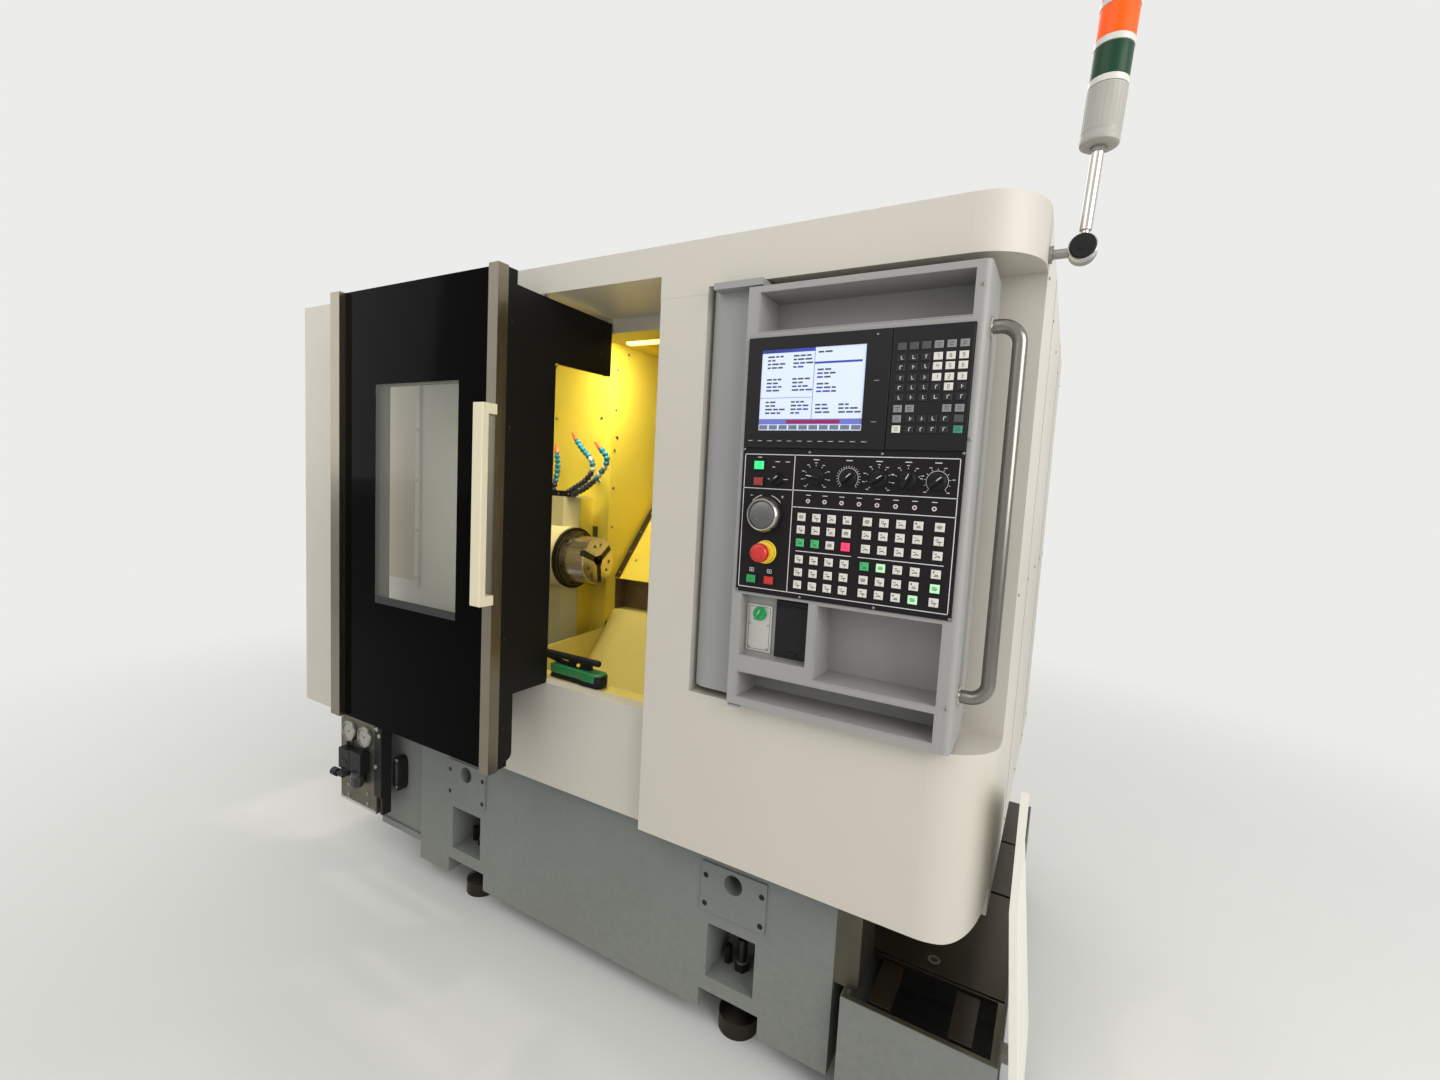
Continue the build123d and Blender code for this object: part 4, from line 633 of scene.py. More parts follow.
screen_white = screen_ink("screen_white", (196, 208, 232), 0.34)
screen_blue = screen_ink("screen_blue", (92, 98, 176), 0.4)
screen_navy = screen_ink("screen_navy", (40, 52, 150), 0.3)
screen_red = screen_ink("screen_red", (226, 66, 96), 0.5)
screen_grey = screen_ink("screen_grey", (104, 110, 128), 0.2)
bezel_black = paint("bezel_black", (23, 22, 24), 0.42, 0.1, 0.3, 1800.0, specular=0.25)
key_dark = paint("key_dark", (34, 34, 38), 0.4, 0.1, 0.15, 2200.0, specular=0.3)
key_slate = paint("key_slate", (74, 74, 78), 0.4, 0.1, 0.15, 2200.0, specular=0.3)
key_grey = paint("key_grey", (128, 128, 130), 0.4, 0.1, 0.1, 2200.0)
key_green = plastic("key_green", (52, 160, 92), 0.3, 0.25)
key_teal = plastic("key_teal", (44, 132, 112), 0.35)
key_mint = plastic("key_mint", (176, 228, 180), 0.3, 0.25)
key_lit_red = plastic("key_lit_red", (240, 44, 92), 0.3, 0.9)
print_white = paint("print_white", (206, 206, 206), 0.5, 0.05, 0.05, 2000.0)
print_dark = paint("print_dark", (70, 68, 66), 0.5, 0.05, 0.05, 2000.0)
print("screen and key colours ready")

# %% [markdown]
# Digits are needed on the number keys only. Seven strokes make every digit, the way an old clock
# does it, and a table says which strokes each digit lights.

# %% Digits from seven strokes
STROKES = {"a": (0, 1, 0), "b": (1, 0.5, 90), "c": (1, -0.5, 90), "d": (0, -1, 0), "e": (-1, -0.5, 90),
           "f": (-1, 0.5, 90), "g": (0, 0, 0)}
DIGITS = "abcdef bc abged abgcd fgbc afgcd afgedc abc abcdefg abfgcd".split()


def add_digit(bm, digit, x, z, size, y, slot):
    """A digit of that height, centred on x and z."""
    for stroke in DIGITS[digit]:
        side, level, turn = STROKES[stroke]
        place = (x + side * size * 0.25, z + level * size * 0.5)
        add_mark(bm, *place, size * 0.5, size * 0.13, y, slot, turn, 0.2)


print(len(DIGITS), "digits ready")

# %% [markdown]
# The display half comes first: a frame round a sunk screen, then the page. Rows of strokes of
# different length stand for text, drawn from a seeded choice so that each run gives the same page.
# Places on the pendant are given from the left edge of its two units.

# %% Display half
UNIT_X = 612.0
UNIT_LOW, UNIT_HIGH = 1419.2, 1638.0
BEZEL_Y = -36.0
BEZEL_BACK = -22.3
PAGE_Y = -34.0
SOFT_KEY_Z = 1433.0
SCREEN = (UNIT_X + 31.0, UNIT_X + 244.0, 1454.0, 1613.0)
PAPER, BLUE, INDIGO, RED, RULE, TEXT, KEY_CAP, KEY_SIGN, LATCH = range(1, 10)
PAGE_BARS = (
    (0.0, 0.53, 0.955, 1.0, INDIGO), (0.53, 0.97, 0.80, 0.825, INDIGO), (0.02, 0.30, 0.965, 0.990, PAPER),
    (0.525, 0.53, 0.14, 0.97, RULE), (0.0, 1.0, 0.135, 0.142, RULE), (0.0, 0.52, 0.40, 0.406, RULE),
    (0.0, 1.0, 0.075, 0.135, BLUE), (0.28, 0.80, 0.085, 0.128, RED),
)
PAGE_BLOCKS = (
    (0.06, 0.90, 4), (0.06, 0.62, 4), (0.32, 0.90, 4), (0.32, 0.62, 4), (0.06, 0.34, 4), (0.32, 0.34, 4),
    (0.56, 0.93, 1), (0.56, 0.72, 3), (0.56, 0.55, 3), (0.56, 0.30, 3), (0.78, 0.30, 3),
)


def build_display():
    bezel = bmesh.new()
    add_frame(bezel, (UNIT_X, UNIT_X + 290.2, UNIT_LOW, UNIT_HIGH), SCREEN, BEZEL_Y, BEZEL_BACK)
    add_box(bezel, (UNIT_X + 291.3, BEZEL_Y, UNIT_LOW), (UNIT_X + 430.0, BEZEL_BACK, UNIT_HIGH))
    settle("control_bezel", bezel, [bezel_black], "pendant", bevel=1.0)

    bm = bmesh.new()
    low_x, high_x, low_z, high_z = SCREEN
    width, height = high_x - low_x, high_z - low_z
    add_box(bm, (low_x + 0.1, PAGE_Y, low_z + 0.1), (high_x - 0.1, -23.0, high_z - 0.1), PAPER)

    def page(x0, x1, z0, z1, slot):
        low = (low_x + x0 * width, PAGE_Y - 0.2, low_z + z0 * height)
        add_box(bm, low, (low_x + x1 * width, PAGE_Y, low_z + z1 * height), slot)

    for bar in PAGE_BARS:
        page(*bar)
    for index in range(10):
        page(0.008 + index * 0.1, 0.092 + index * 0.1, 0.012, 0.066, RULE)
        page(0.022 + index * 0.1, 0.076 + index * 0.1, 0.030, 0.048, PAPER)
    chance = random.Random(7)
    for block_x, block_z, rows in PAGE_BLOCKS:
        for row in range(rows):
            x, z = block_x, block_z - row * 0.045
            for _ in range(chance.choice((2, 3))):
                length = chance.uniform(0.03, 0.07)
                page(x, x + length, z, z + 0.020, TEXT if chance.random() < 0.75 else INDIGO)
                x += length + 0.012
    for column in range(12):
        centre = UNIT_X + 16.0 + column * 21.4
        add_cap(bm, box_rect(centre, SOFT_KEY_Z, 7.2, 2.8), BEZEL_Y, BEZEL_Y - 1.6, 0.5, KEY_CAP)
        add_mark(bm, centre, SOFT_KEY_Z, 9.0, 0.8, BEZEL_Y - 1.6, KEY_SIGN)
    lamp = [(4.0, 0), (4.0, 0.8), (3.2, 1.2), (0, 1.2)]
    add_turned(bm, (UNIT_X + 264.0, BEZEL_Y, 1628.0), TO_OPERATOR, lamp, 20, KEY_CAP)
    add_mark(bm, UNIT_X + 264.0, 1628.0, 4.0, 0.9, BEZEL_Y - 1.2, KEY_SIGN)
    for z in (1470.0, 1545.0):
        add_mark(bm, UNIT_X + 267.0, z, 10.0, 1.4, BEZEL_Y, LATCH)
    materials = [bezel_black, screen_white, screen_blue, screen_navy, screen_red, screen_grey, print_dark,
                 key_dark, print_white, key_grey]
    settle("control_display", bm, materials, "pendant", ["display_unit"])


build_display()

# %% [markdown]
# The key half is a field of six columns: a row of grey keys on top, dark letter keys on the left,
# pale digit keys on the right, and the editing keys below. Letters are left as plain strokes.

# %% Key half
DARK, GREY, IVORY, PALE_SIGN, DARK_SIGN, TEAL, SLATE = range(1, 8)
KEY_FACE = BEZEL_Y - 1.8
FIRST_COLUMN, COLUMN_PITCH = 309.0, 21.2


def build_key_field():
    bm = bmesh.new()
    columns = [FIRST_COLUMN + index * COLUMN_PITCH for index in range(6)]
    chance = random.Random(21)

    def key(u, z, slot, digit=None):
        x = UNIT_X + u
        add_cap(bm, box_rect(x, z, 7.5, 6.5), BEZEL_Y, KEY_FACE, 0.6, slot)
        if digit is not None:
            add_digit(bm, digit, x, z, 6.0, KEY_FACE, DARK_SIGN)
        elif slot == DARK:
            add_mark(bm, x + chance.uniform(-1, 1), z, 1.1, 6.5, KEY_FACE, PALE_SIGN)
            add_mark(bm, x + 1.6, z + chance.choice((-2.6, 0.0, 2.6)), 4.0, 1.0, KEY_FACE, PALE_SIGN)
        else:
            add_mark(bm, x, z + 2.0, chance.uniform(6, 9), 1.1, KEY_FACE, DARK_SIGN)
            add_mark(bm, x, z - 2.0, chance.uniform(4, 8), 1.1, KEY_FACE, DARK_SIGN)

    for index, u in enumerate(columns):
        key(u, 1603.0, SLATE if index < 3 else GREY)
    for row, z in enumerate((1583.0, 1566.0, 1547.0)):
        for u in columns[:3]:
            key(u, z, DARK)
        for index, u in enumerate(columns[3:]):
            key(u, z, IVORY, 7 - 3 * row + index)
    for index, u in enumerate(columns):
        key(u, 1530.0, *((IVORY, 0) if index == 4 else (DARK,)))
    for u in columns:
        key(u, 1512.5, DARK)
    for index in (0, 1, 4, 5):
        key(columns[index], 1493.0, GREY)
    for z, slot in ((1475.0, GREY), (1456.5, IVORY)):
        key(columns[0], z, slot)
        for index in range(4):
            key(columns[1] + 2.0 + index * 19.7, z, DARK)
    key(columns[5], 1475.0, SLATE)
    key(columns[5], 1456.5, TEAL)
    materials = [bezel_black, key_dark, key_grey, key_ivory, print_white, print_dark, key_teal, key_slate]
    settle("control_keys", bm, materials, "pendant")


build_key_field()

# %% [markdown]
# The operation panel below is printed with thin pale frames that group its switches. The print is
# one raised piece over the CAD plate: frames, dial rings with their ticks, eight small lamps, arcs
# beside the hand wheel, and short strokes where the machine has words.

# %% Operation panel print
PANEL_Y = -33.0
KNOB_Z = 1365.0
DIAL_REACH = 22.0
# Of each knob: its place, how far it is turned, how many ticks its dial has.
KNOBS = ((160.0, 172.0, 9), (226.0, 42.0, 21), (283.0, 32.0, 9), (336.0, 64.0, 5), (388.0, 40.0, 11))
PANEL_LINES = (
    (5, 1132, 424, 1132), (5, 1406, 424, 1406), (5, 1132, 5, 1406), (424, 1132, 424, 1406),
    (115, 1132, 115, 1406), (5, 1337, 424, 1337), (115, 1304, 424, 1304), (129, 1217, 241, 1217),
    (256, 1217, 410, 1217),
)
PANEL_WORDS = (
    (24, 1322, 5, 1.2), (93, 1322, 5, 1.2), (38, 1400, 9, 1.4), (78, 1392, 10, 1.4), (100, 1392, 9, 1.4),
    (62, 1357, 8, 1.4), (97, 1357, 9, 1.4), (70, 1381, 6, 1.4),
)


def on_panel(u, z, rise=0.0):
    """A point on the operation panel, that far in front of it."""
    return (UNIT_X + u, PANEL_Y - rise, z)


def build_print():
    bm = bmesh.new()

    def ink(u, z, width, height, turn=0.0):
        add_mark(bm, UNIT_X + u, z, width, height, PANEL_Y, 0, turn, 0.3)

    for u0, z0, u1, z1 in PANEL_LINES:
        turn = math.degrees(math.atan2(z1 - z0, u1 - u0))
        ink((u0 + u1) / 2, (z0 + z1) / 2, math.hypot(u1 - u0, z1 - z0) + 1.5, 1.5, turn)
    for index, (u, _, ticks) in enumerate(KNOBS):
        for tick in range(ticks):
            turn = 160 - 35 * tick if index == 3 else 225.0 - 270.0 * tick / (ticks - 1)
            across, upward = math.cos(math.radians(turn)), math.sin(math.radians(turn))
            ink(u + DIAL_REACH * across, KNOB_Z + DIAL_REACH * upward, 3.0, 0.9, turn)
            if index in (0, 2, 3) or (index == 4 and tick % 2 == 0):
                ink(u + (DIAL_REACH + 6.0) * across, KNOB_Z + (DIAL_REACH + 5.0) * upward, 5.0, 1.3)
        if index in (1, 4):
            add_ring(bm, on_panel(u, KNOB_Z), TO_OPERATOR, 18.6, 19.4, 0.3, 40, 0, -45.0, 225.0)
        ink(u, 1398.0, 12.0, 1.6)
    for index in range(8):
        u = 148.0 + index * 34.1
        add_ring(bm, on_panel(u, 1317.0), TO_OPERATOR, 2.4, 4.2, 0.5, 24, 0)
        add_turned(bm, on_panel(u, 1317.0), TO_OPERATOR, [(1.8, 0), (1.8, 0.3), (0, 0.6)], 12, 1)
        ink(u, 1328.5, 10.0, 1.3)
    for start, end in ((40.0, 75.0), (105.0, 140.0)):
        add_ring(bm, on_panel(58.0, 1284.0), TO_OPERATOR, 40.0, 41.5, 0.3, 14, 0, start, end)
    for word in PANEL_WORDS:
        ink(*word)
    ink(93, 1322, 5.0, 1.2, 90)
    for u in (34.0, 74.0):
        x = UNIT_X + u
        add_frame(bm, box_rect(x, 1169.0, 5.0, 4.0), box_rect(x, 1169.0, 4.0, 3.0), PANEL_Y - 0.3, PANEL_Y)
        ink(u, 1169.0, 3.0, 3.0, 45.0)
    settle("panel_print", bm, [print_white, dark_red], "pendant")


build_print()

# %% [markdown]
# Fifty-four square keys stand in four blocks. Each is a cap in a dark collar with a small printed
# sign, and a few are lit green, mint or red. A small table names the coloured ones; every other key
# is ivory.

# %% Operation keys
KEY_COLUMNS = (137.0, 168.0, 199.0, 230.0, 269.0, 300.0, 331.0, 362.0, 399.0)
KEY_ROWS = (1285.0, 1260.0, 1234.0, 1201.0, 1175.0, 1150.0)
CAP_FACE = PANEL_Y - 2.8
GREEN, MINT, ROSE, COLLAR, SIGN = range(1, 6)
LIT_KEYS = {(0, 2): GREEN, (1, 2): GREEN, (3, 2): ROSE, (4, 3): GREEN, (5, 3): MINT, (8, 4): MINT,
            (7, 5): MINT}
SIGNS = (
    ((0, 2.5, 8, 1.0, 0), (0, 0, 10, 1.0, 0), (0, -2.5, 7, 1.0, 0)),
    ((-2.5, 3, 5, 1.0, 0), (1, -1, 9, 1.2, 0), (2, -3.5, 1.2, 4, 0)),
    ((-3, 3, 4, 1.0, 0), (-1, -1.5, 7, 1.2, 25), (3, -1.5, 5, 1.2, -35)),
    ((-4, 4, 2.5, 2.5, 0), (1, -1, 6, 1.0, 0), (1, -3.5, 8, 1.0, 0)),
)


def pick_sign(column, row):
    """Keys of one kind share a sign, and the others take turns."""
    if row in (1, 2) and 4 <= column < 8:
        return SIGNS[2]
    if row > 2 and column < 4:
        return SIGNS[1]
    return SIGNS[(column + row) % 4]


bm = bmesh.new()
for (column, u), (row, z) in product(enumerate(KEY_COLUMNS), enumerate(KEY_ROWS)):
    x = UNIT_X + u
    add_frame(bm, box_rect(x, z, 9.4, 8.9), box_rect(x, z, 8.6, 8.1), PANEL_Y - 1.2, PANEL_Y, COLLAR)
    add_cap(bm, box_rect(x, z, 8.4, 7.9), PANEL_Y, CAP_FACE, 1.0, LIT_KEYS.get((column, row), 0))
    for du, dz, width, height, turn in pick_sign(column, row):
        add_mark(bm, x + du * 0.95, z + dz * 0.95, width, height * 1.35, CAP_FACE, SIGN, turn, 0.15)
materials = [key_ivory, key_green, key_mint, key_lit_red, soft_black, print_dark]
settle("panel_keys", bm, materials, "pendant", ["operation_keys"])

# %% [markdown]
# Rotary switches get a rounded skirt, a raised grip with sloping sides and a white pointer. The grip
# is a prism that narrows towards the front. Each switch rides its own body, since each one turns.

# %% Rotary switches
def add_grip(bm, x, z, turn, length, width, near, far):
    """A finger grip across a knob, narrower at the front, with its pointer line."""
    matrix = Matrix.Translation((x, 0.0, z)) @ Matrix.Rotation(math.radians(-turn), 4, "Y")
    a1, b1 = length / 2, width / 2
    base = ((-a1, -b1), (a1, -b1), (a1, b1), (-a1, b1))
    loops = []
    for y, long_part, wide_part in ((near, 1.0, 1.0), (far + 1.0, 0.96, 0.72), (far, 0.9, 0.5)):
        loops.append([bm.verts.new(matrix @ Vector((a * long_part, y, b * wide_part))) for a, b in base])
    skin(bm, loops)
    verts = add_box(bm, (length * 0.06, far - 0.2, -0.7), (length * 0.44, far, 0.7), 1)
    bmesh.ops.transform(bm, matrix=matrix, verts=verts)


SKIRT = [(15.9, 0.0), (15.9, 2.0), (15.2, 2.8), (13.8, 3.2), (13.2, 6.2), (12.4, 6.9), (0.0, 7.0)]
for number, (u, turn, _) in enumerate(KNOBS, start=1):
    bm = bmesh.new()
    add_turned(bm, on_panel(u, KNOB_Z, 0.3), TO_OPERATOR, SKIRT, 44)
    add_grip(bm, UNIT_X + u, KNOB_Z, turn, 28.4, 8.8, PANEL_Y - 6.9, PANEL_Y - 19.0)
    node_name = f"selector_knob_{number}"
    settle(f"rotary_switch_{number}", bm, [soft_black, print_white], f"knob_{number}", [node_name])

# %% [markdown]
# The hand wheel is turned metal: a milled rim, a domed face and a small finger hole, whose raised black
# dimple is painted shade for the hollow. The emergency stop is a red mushroom over a yellow collar, and its
# head is domed by a few rings of its profile.

# %% Hand wheel and emergency stop
WHEEL = on_panel(58.0, 1284.0, 0.3)
WHEEL_RADIUS = 35.9
rim = [(34.6, 0.0), (35.9, 1.0), (35.9, 12.0), (35.0, 14.4), (32.6, 20.4), (31.0, 21.6), (29.4, 21.2),
       (28.2, 18.4), (28.2, 0.0)]
dome = [(28.6, 18.0), (27.6, 19.0), (24.0, 21.2), (18.0, 22.8), (10.0, 23.7), (0.0, 24.0)]
bm = bmesh.new()
add_turned(bm, WHEEL, TO_OPERATOR, rim, 72, 0, True)
add_turned(bm, WHEEL, TO_OPERATOR, dome, 64, 1)
for across, upward in around(72, WHEEL_RADIUS):
    point = Vector(WHEEL) + Vector((across, 0.0, upward))
    add_bar(bm, point + Vector((0, -1.5, 0)), point + Vector((0, -11.5, 0)), 0.35, 5)
shaded_hole, shaded_hole_axis = on_panel(46.0, 1272.0, 21.6), (-0.14, -1, -0.14)
add_ring(bm, shaded_hole, shaded_hole_axis, 4.4, 6.0, 1.2, 28)
# The finger hole's raised black dimple is painted shade for its hollow.
add_turned(bm, shaded_hole, shaded_hole_axis, [(4.4, 0.0), (4.2, 0.3), (1.8, 0.3), (1.4, 0.9), (0, 1.1)], 20, 2)
wheel_face = metal("wheel_face", (116, 117, 116), 0.34, EVEN, 0.3)
wheel_rim = metal("wheel_rim", (178, 176, 170), 0.2, (300.0, 60.0, 300.0), 0.3, 0.1)
settle("hand_wheel", bm, [wheel_rim, wheel_face, soft_black], "wheel", ["handwheel"])

mushroom = [(10.6, 0.0), (10.6, 9.0), (14.0, 10.5), (18.4, 11.6), (19.4, 13.6), (19.4, 19.6), (18.2, 23.4),
            (15.4, 26.0), (11.0, 27.3), (5.0, 27.7), (0.0, 27.8)]
bm = bmesh.new()
add_turned(bm, on_panel(63.0, 1208.0, 12.2), TO_OPERATOR, mushroom, 56)
for first in (20, 140, 260):
    add_ring(bm, on_panel(63.0, 1208.0, 38.6), TO_OPERATOR, 12.2, 13.4, 0.9, 10, 1, first, first + 70)
settle("stop_mushroom", bm, [stop_red, dark_red], "estop", ["estop_button"])

collar = [(24.0, 0.0), (24.0, 0.8), (22.6, 1.2), (22.4, 11.6), (21.4, 12.25), (11.3, 12.25), (11.3, 0.0)]
bm = bmesh.new()
add_turned(bm, on_panel(63.0, 1208.0), TO_OPERATOR, collar, 48, 0, True)
settle("stop_collar", bm, [safety_yellow], "pendant")

# %% [markdown]
# Push buttons are lit caps in black bezels; the bezels belong to the panel and the caps move. The
# key switch is a small knob with a grip. Below the panel sit the green selector on its bright
# plate and the black flap over the data sockets.

# %% Buttons, key switch, selector and flap
BUTTONS = {
    "power_on": (38.0, 1384.0, lit_green),
    "power_off": (38.0, 1351.0, dark_red),
    "cycle_start": (34.0, 1150.0, go_green),
    "feed_hold": (74.0, 1151.0, stop_red),
}
bezels = bmesh.new()
for name, (u, z, material) in BUTTONS.items():
    x = UNIT_X + u
    add_frame(bezels, box_rect(x, z, 12.6, 10.4), box_rect(x, z, 10.4, 8.4), PANEL_Y - 2.4, PANEL_Y)
    bm = bmesh.new()
    add_cap(bm, box_rect(x, z, 9.9, 7.9), PANEL_Y + 4.0, PANEL_Y - 4.8, 1.4)
    for turn in (0, 90) if name in ("power_on", "cycle_start") else (0,):
        add_mark(bm, x, z, 5.0, 1.0, PANEL_Y - 4.8, 1, turn, 0.15)
    settle(f"{name}_cap", bm, [material, print_dark], name, [f"{name}_button"])
settle("button_bezels", bezels, [soft_black], "pendant", bevel=0.4)

bm = bmesh.new()
skirt = [(13.6, 0.0), (13.6, 3.0), (12.6, 5.0), (11.6, 7.6), (0.0, 7.9)]
add_turned(bm, on_panel(78.0, 1357.0, 0.3), TO_OPERATOR, skirt, 40)
add_grip(bm, UNIT_X + 78.0, 1357.0, 40.0, 23.0, 8.4, PANEL_Y - 7.8, PANEL_Y - 17.0)
settle("key_switch", bm, [soft_black, print_white], "lock", ["lock_switch"])

bm = bmesh.new()
skirt = [(14.9, 0.0), (14.9, 4.0), (14.0, 5.4), (12.6, 8.6), (0.0, 9.0)]
add_turned(bm, (UNIT_X + 48.0, -9.3, 1074.0), TO_OPERATOR, skirt, 44)
add_grip(bm, UNIT_X + 48.0, 1074.0, 60.0, 25.4, 7.8, -18.0, -25.2)
settle("green_selector", bm, [go_green, print_white], "selector", ["mode_selector"])

PLATE_Y = -9.25
PLATE_X = UNIT_X + 47.0
bm = bmesh.new()
add_box(bm, (PLATE_X - 28.6, PLATE_Y, 993.4), (PLATE_X + 28.6, -9.02, 1092.6))
add_frame(bm, box_rect(PLATE_X, 1043.0, 25.0, 46.0), box_rect(PLATE_X, 1043.0, 24.0, 45.0), -9.3, -9.2, 1)
places = product((PLATE_X - 21.0, PLATE_X + 21.0), [PLATE_Y], (1000.5, 1051.0))
add_screws(bm, places, TO_OPERATOR, 2.2, 2, 1)
brushed_plate = metal("brushed_plate", (214, 211, 206), 0.34, (20.0, 500.0, 900.0), 0.25)
settle("selector_plate", bm, [brushed_plate, print_dark, plain_steel], "pendant")

bm = bmesh.new()
add_box(bm, (UNIT_X + 90.0, -12.75, 994.0), (UNIT_X + 157.0, -12.32, 1095.0))
add_bar(bm, (UNIT_X + 88.0, -12.6, 1099.0), (UNIT_X + 159.0, -12.6, 1099.0), 1.2, 10)
settle("flap_ribs", bm, [soft_black], "flap")

# %% [markdown]
# Around the two units the pendant shows its fixings and folds: screws above and below the panel, a
# lip round each pocket, and the flanges at the ends of the grab rail.

# %% Pendant screws, lips and rail ends
PANEL_SCREWS = ((145.0, 1412.0), (287.0, 1412.0), (2.5, 1416.0), (428.0, 1416.0), (2.5, 1124.0),
                (143.0, 1125.0), (292.0, 1125.0), (428.0, 1124.0))
POCKETS = ((629.0, 1035.0, 1651.0, 1729.0), (793.0, 1029.0, 962.0, 1113.0), (625.0, 1028.0, 893.0, 948.0))
LIP_WIDTH, LIP_OVERLAP = 1.6, 0.2
bm = bmesh.new()
add_screws(bm, [on_panel(*place) for place in PANEL_SCREWS], TO_OPERATOR, 2.4)
add_screws(bm, product([1047.0], [-30.0], (962.0, 1440.0, 1700.0)), TO_OPERATOR, 3.0)
settle("pendant_screws", bm, [plain_steel, soft_black], "pendant")

bm = bmesh.new()
for x0, x1, z0, z1 in POCKETS:
    outer, inner = [(x0 - grow, x1 + grow, z0 - grow, z1 + grow) for grow in (LIP_WIDTH, -LIP_OVERLAP)]
    add_frame(bm, outer, inner, -30.8, -29.9)
settle("pocket_lips", bm, [housing_grey], "pendant", bevel=0.3)

bm = bmesh.new()
flange = [(19.0, 0.0), (19.0, 2.5), (17.0, 4.0), (13.0, 4.4), (12.7, 4.4)]
for z in (975.0, 1640.0):
    add_turned(bm, (1059.0, 20.0, z), TO_RIGHT, flange, 40)
settle("rail_flanges", bm, [rail_chrome], "pendant")

# %% [markdown]
# The signal tower shows how a form can be built along a slanted axis. All its rings are turned about
# the pole, which leans by three degrees. A lamp lens is not smooth: fine ribs inside it spread the
# light, so each lens is a column of alternating radii. The middle and top lamps are lit.

# %% Signal tower
LEAN = math.radians(3.0)
TOWER_AXIS = Vector((math.sin(LEAN), 0.0, math.cos(LEAN)))
CLAMP_X, CLAMP_Z = 1186.0, 1789.0
TOWER_FOOT = Vector((CLAMP_X, 111.0, CLAMP_Z))
LENS_RADIUS = 29.9
LENS_SHOULDER = 0.965
LENS_RIBS = 36
RIB_DEPTH = 0.45


def add_tower(bm, profile, steps=56, slot=0, ribs=0.0):
    """A part turned about the tower's pole; heights count from the clamp."""
    add_turned(bm, TOWER_FOOT, TOWER_AXIS, profile, steps, slot, ribs=ribs)


def lens(name, screen, glow=0.0):
    """A translucent lamp lens: a soft plastic with little gloss, lit or dark."""
    return plastic(name, screen, 0.35, glow, varnish=0.08, specular=0.2)


lens_green = lens("lens_green", (16, 60, 36))
lens_amber = lens("lens_amber", (240, 84, 8), 0.3)
lens_red = lens("lens_red", (222, 14, 48), 0.4)
lens_ring = plastic("lens_ring", (206, 206, 198), 0.3)
housing_silver = paint("housing_silver", (166, 164, 156), 0.4, 0.15, 0.3, 1200.0, specular=0.4)
bm = bmesh.new()
for level, (low, high) in enumerate(((260.0, 323.0), (323.0, 386.0), (386.0, 443.0))):
    ring = ((27.0, 0.0), (30.6, 0.4), (30.9, 1.0), (30.9, 10.0), (30.4, 11.0), (27.0, 11.4))
    add_tower(bm, [(radius, low + rise) for radius, rise in ring], slot=3)
    shoulder = LENS_SHOULDER * LENS_RADIUS
    column = [(shoulder, low + 11.2), (LENS_RADIUS, low + 12.4), (LENS_RADIUS, high - 1.2), (shoulder, high)]
    add_tower(bm, column, 2 * LENS_RIBS, level, RIB_DEPTH / LENS_RADIUS)
add_tower(bm, [(27.0, 443.0), (30.8, 443.2), (30.8, 447.0), (28.0, 448.6), (0.0, 448.95)], slot=4)
materials = [lens_green, lens_amber, lens_red, lens_ring, housing_silver]
settle("lamp_column", bm, materials, "tower", ["tower_lenses"], smooth=25.0)

# %% [markdown]
# Under the lamps hang the grey housing and the pole. The housing is ribbed along its length in
# plastic and closes with a rounded foot, and the pole is chromed down to its clamp.

# %% Tower housing, pole and clamp
foot = [(0.0, 166.2), (12.0, 166.2), (26.0, 167.0), (30.2, 169.6), (31.0, 172.0), (31.0, 178.0),
        (30.6, 178.6), (30.6, 188.0), (31.0, 188.6), (31.0, 190.4), (30.6, 191.0), (30.6, 259.0),
        (29.6, 259.9), (0.0, 259.9)]
stem = [(6.4, 14.0), (6.4, 28.0), (9.2, 28.4), (10.0, 29.4), (10.0, 166.3), (0.0, 166.3)]
nut = [(12.6, 158.0), (13.6, 159.0), (13.6, 166.0), (0.0, 166.2)]
clamp = [(22.4, 0.0), (23.0, 0.6), (23.0, 17.2), (22.2, 18.0), (0.0, 18.0)]
bm = bmesh.new()
add_tower(bm, foot)
for x, y in around(24, 30.5):
    spot = TOWER_FOOT + aim(TOWER_AXIS) @ Vector((x, y, 0.0))
    add_bar(bm, spot + TOWER_AXIS * 192.0, spot + TOWER_AXIS * 257.0, 0.4, 5)
add_tower(bm, stem, 40, 1)
add_tower(bm, nut, 6, 2)
add_turned(bm, (CLAMP_X, 119.9, CLAMP_Z), TO_OPERATOR, clamp, 48, 1)
settle("tower_stem", bm, [housing_silver, rail_chrome, plain_steel], "tower", ["tower_pole"])

KNOB_Y = 101.7
bm = bmesh.new()
knob = [(20.8, 0.0), (20.8, 3.0), (19.6, 4.2), (8.0, 4.6), (7.4, 5.6), (0.0, 5.8)]
add_turned(bm, (CLAMP_X, KNOB_Y, CLAMP_Z), TO_OPERATOR, knob, 40)
for x, z in around(30, 20.8):
    start = (CLAMP_X + x, KNOB_Y - 0.4, CLAMP_Z + z)
    add_bar(bm, start, (CLAMP_X + x, KNOB_Y - 3.2, CLAMP_Z + z), 0.8, 6)
settle("tower_knob", bm, [soft_black, dark_steel], "tower")

bm = bmesh.new()
places = [(1139.0, 120.0 + y, CLAMP_Z + z) for y, z in around(4, 11.6, 45)]
add_screws(bm, places, TO_RIGHT, 1.8)
settle("tower_flange_screws", bm, [dark_steel, soft_black], "machine")

# %% [markdown]
# A segmented coolant hose is a chain of identical cups, each with a ball on one end and a socket on
# the other. The chain is laid along a smooth path through a few points: a cubic curve passes through
# every point, and cups are dropped on it at equal steps. Colour changes cup by cup, since such hoses
# are often mended with whatever cups are at hand.

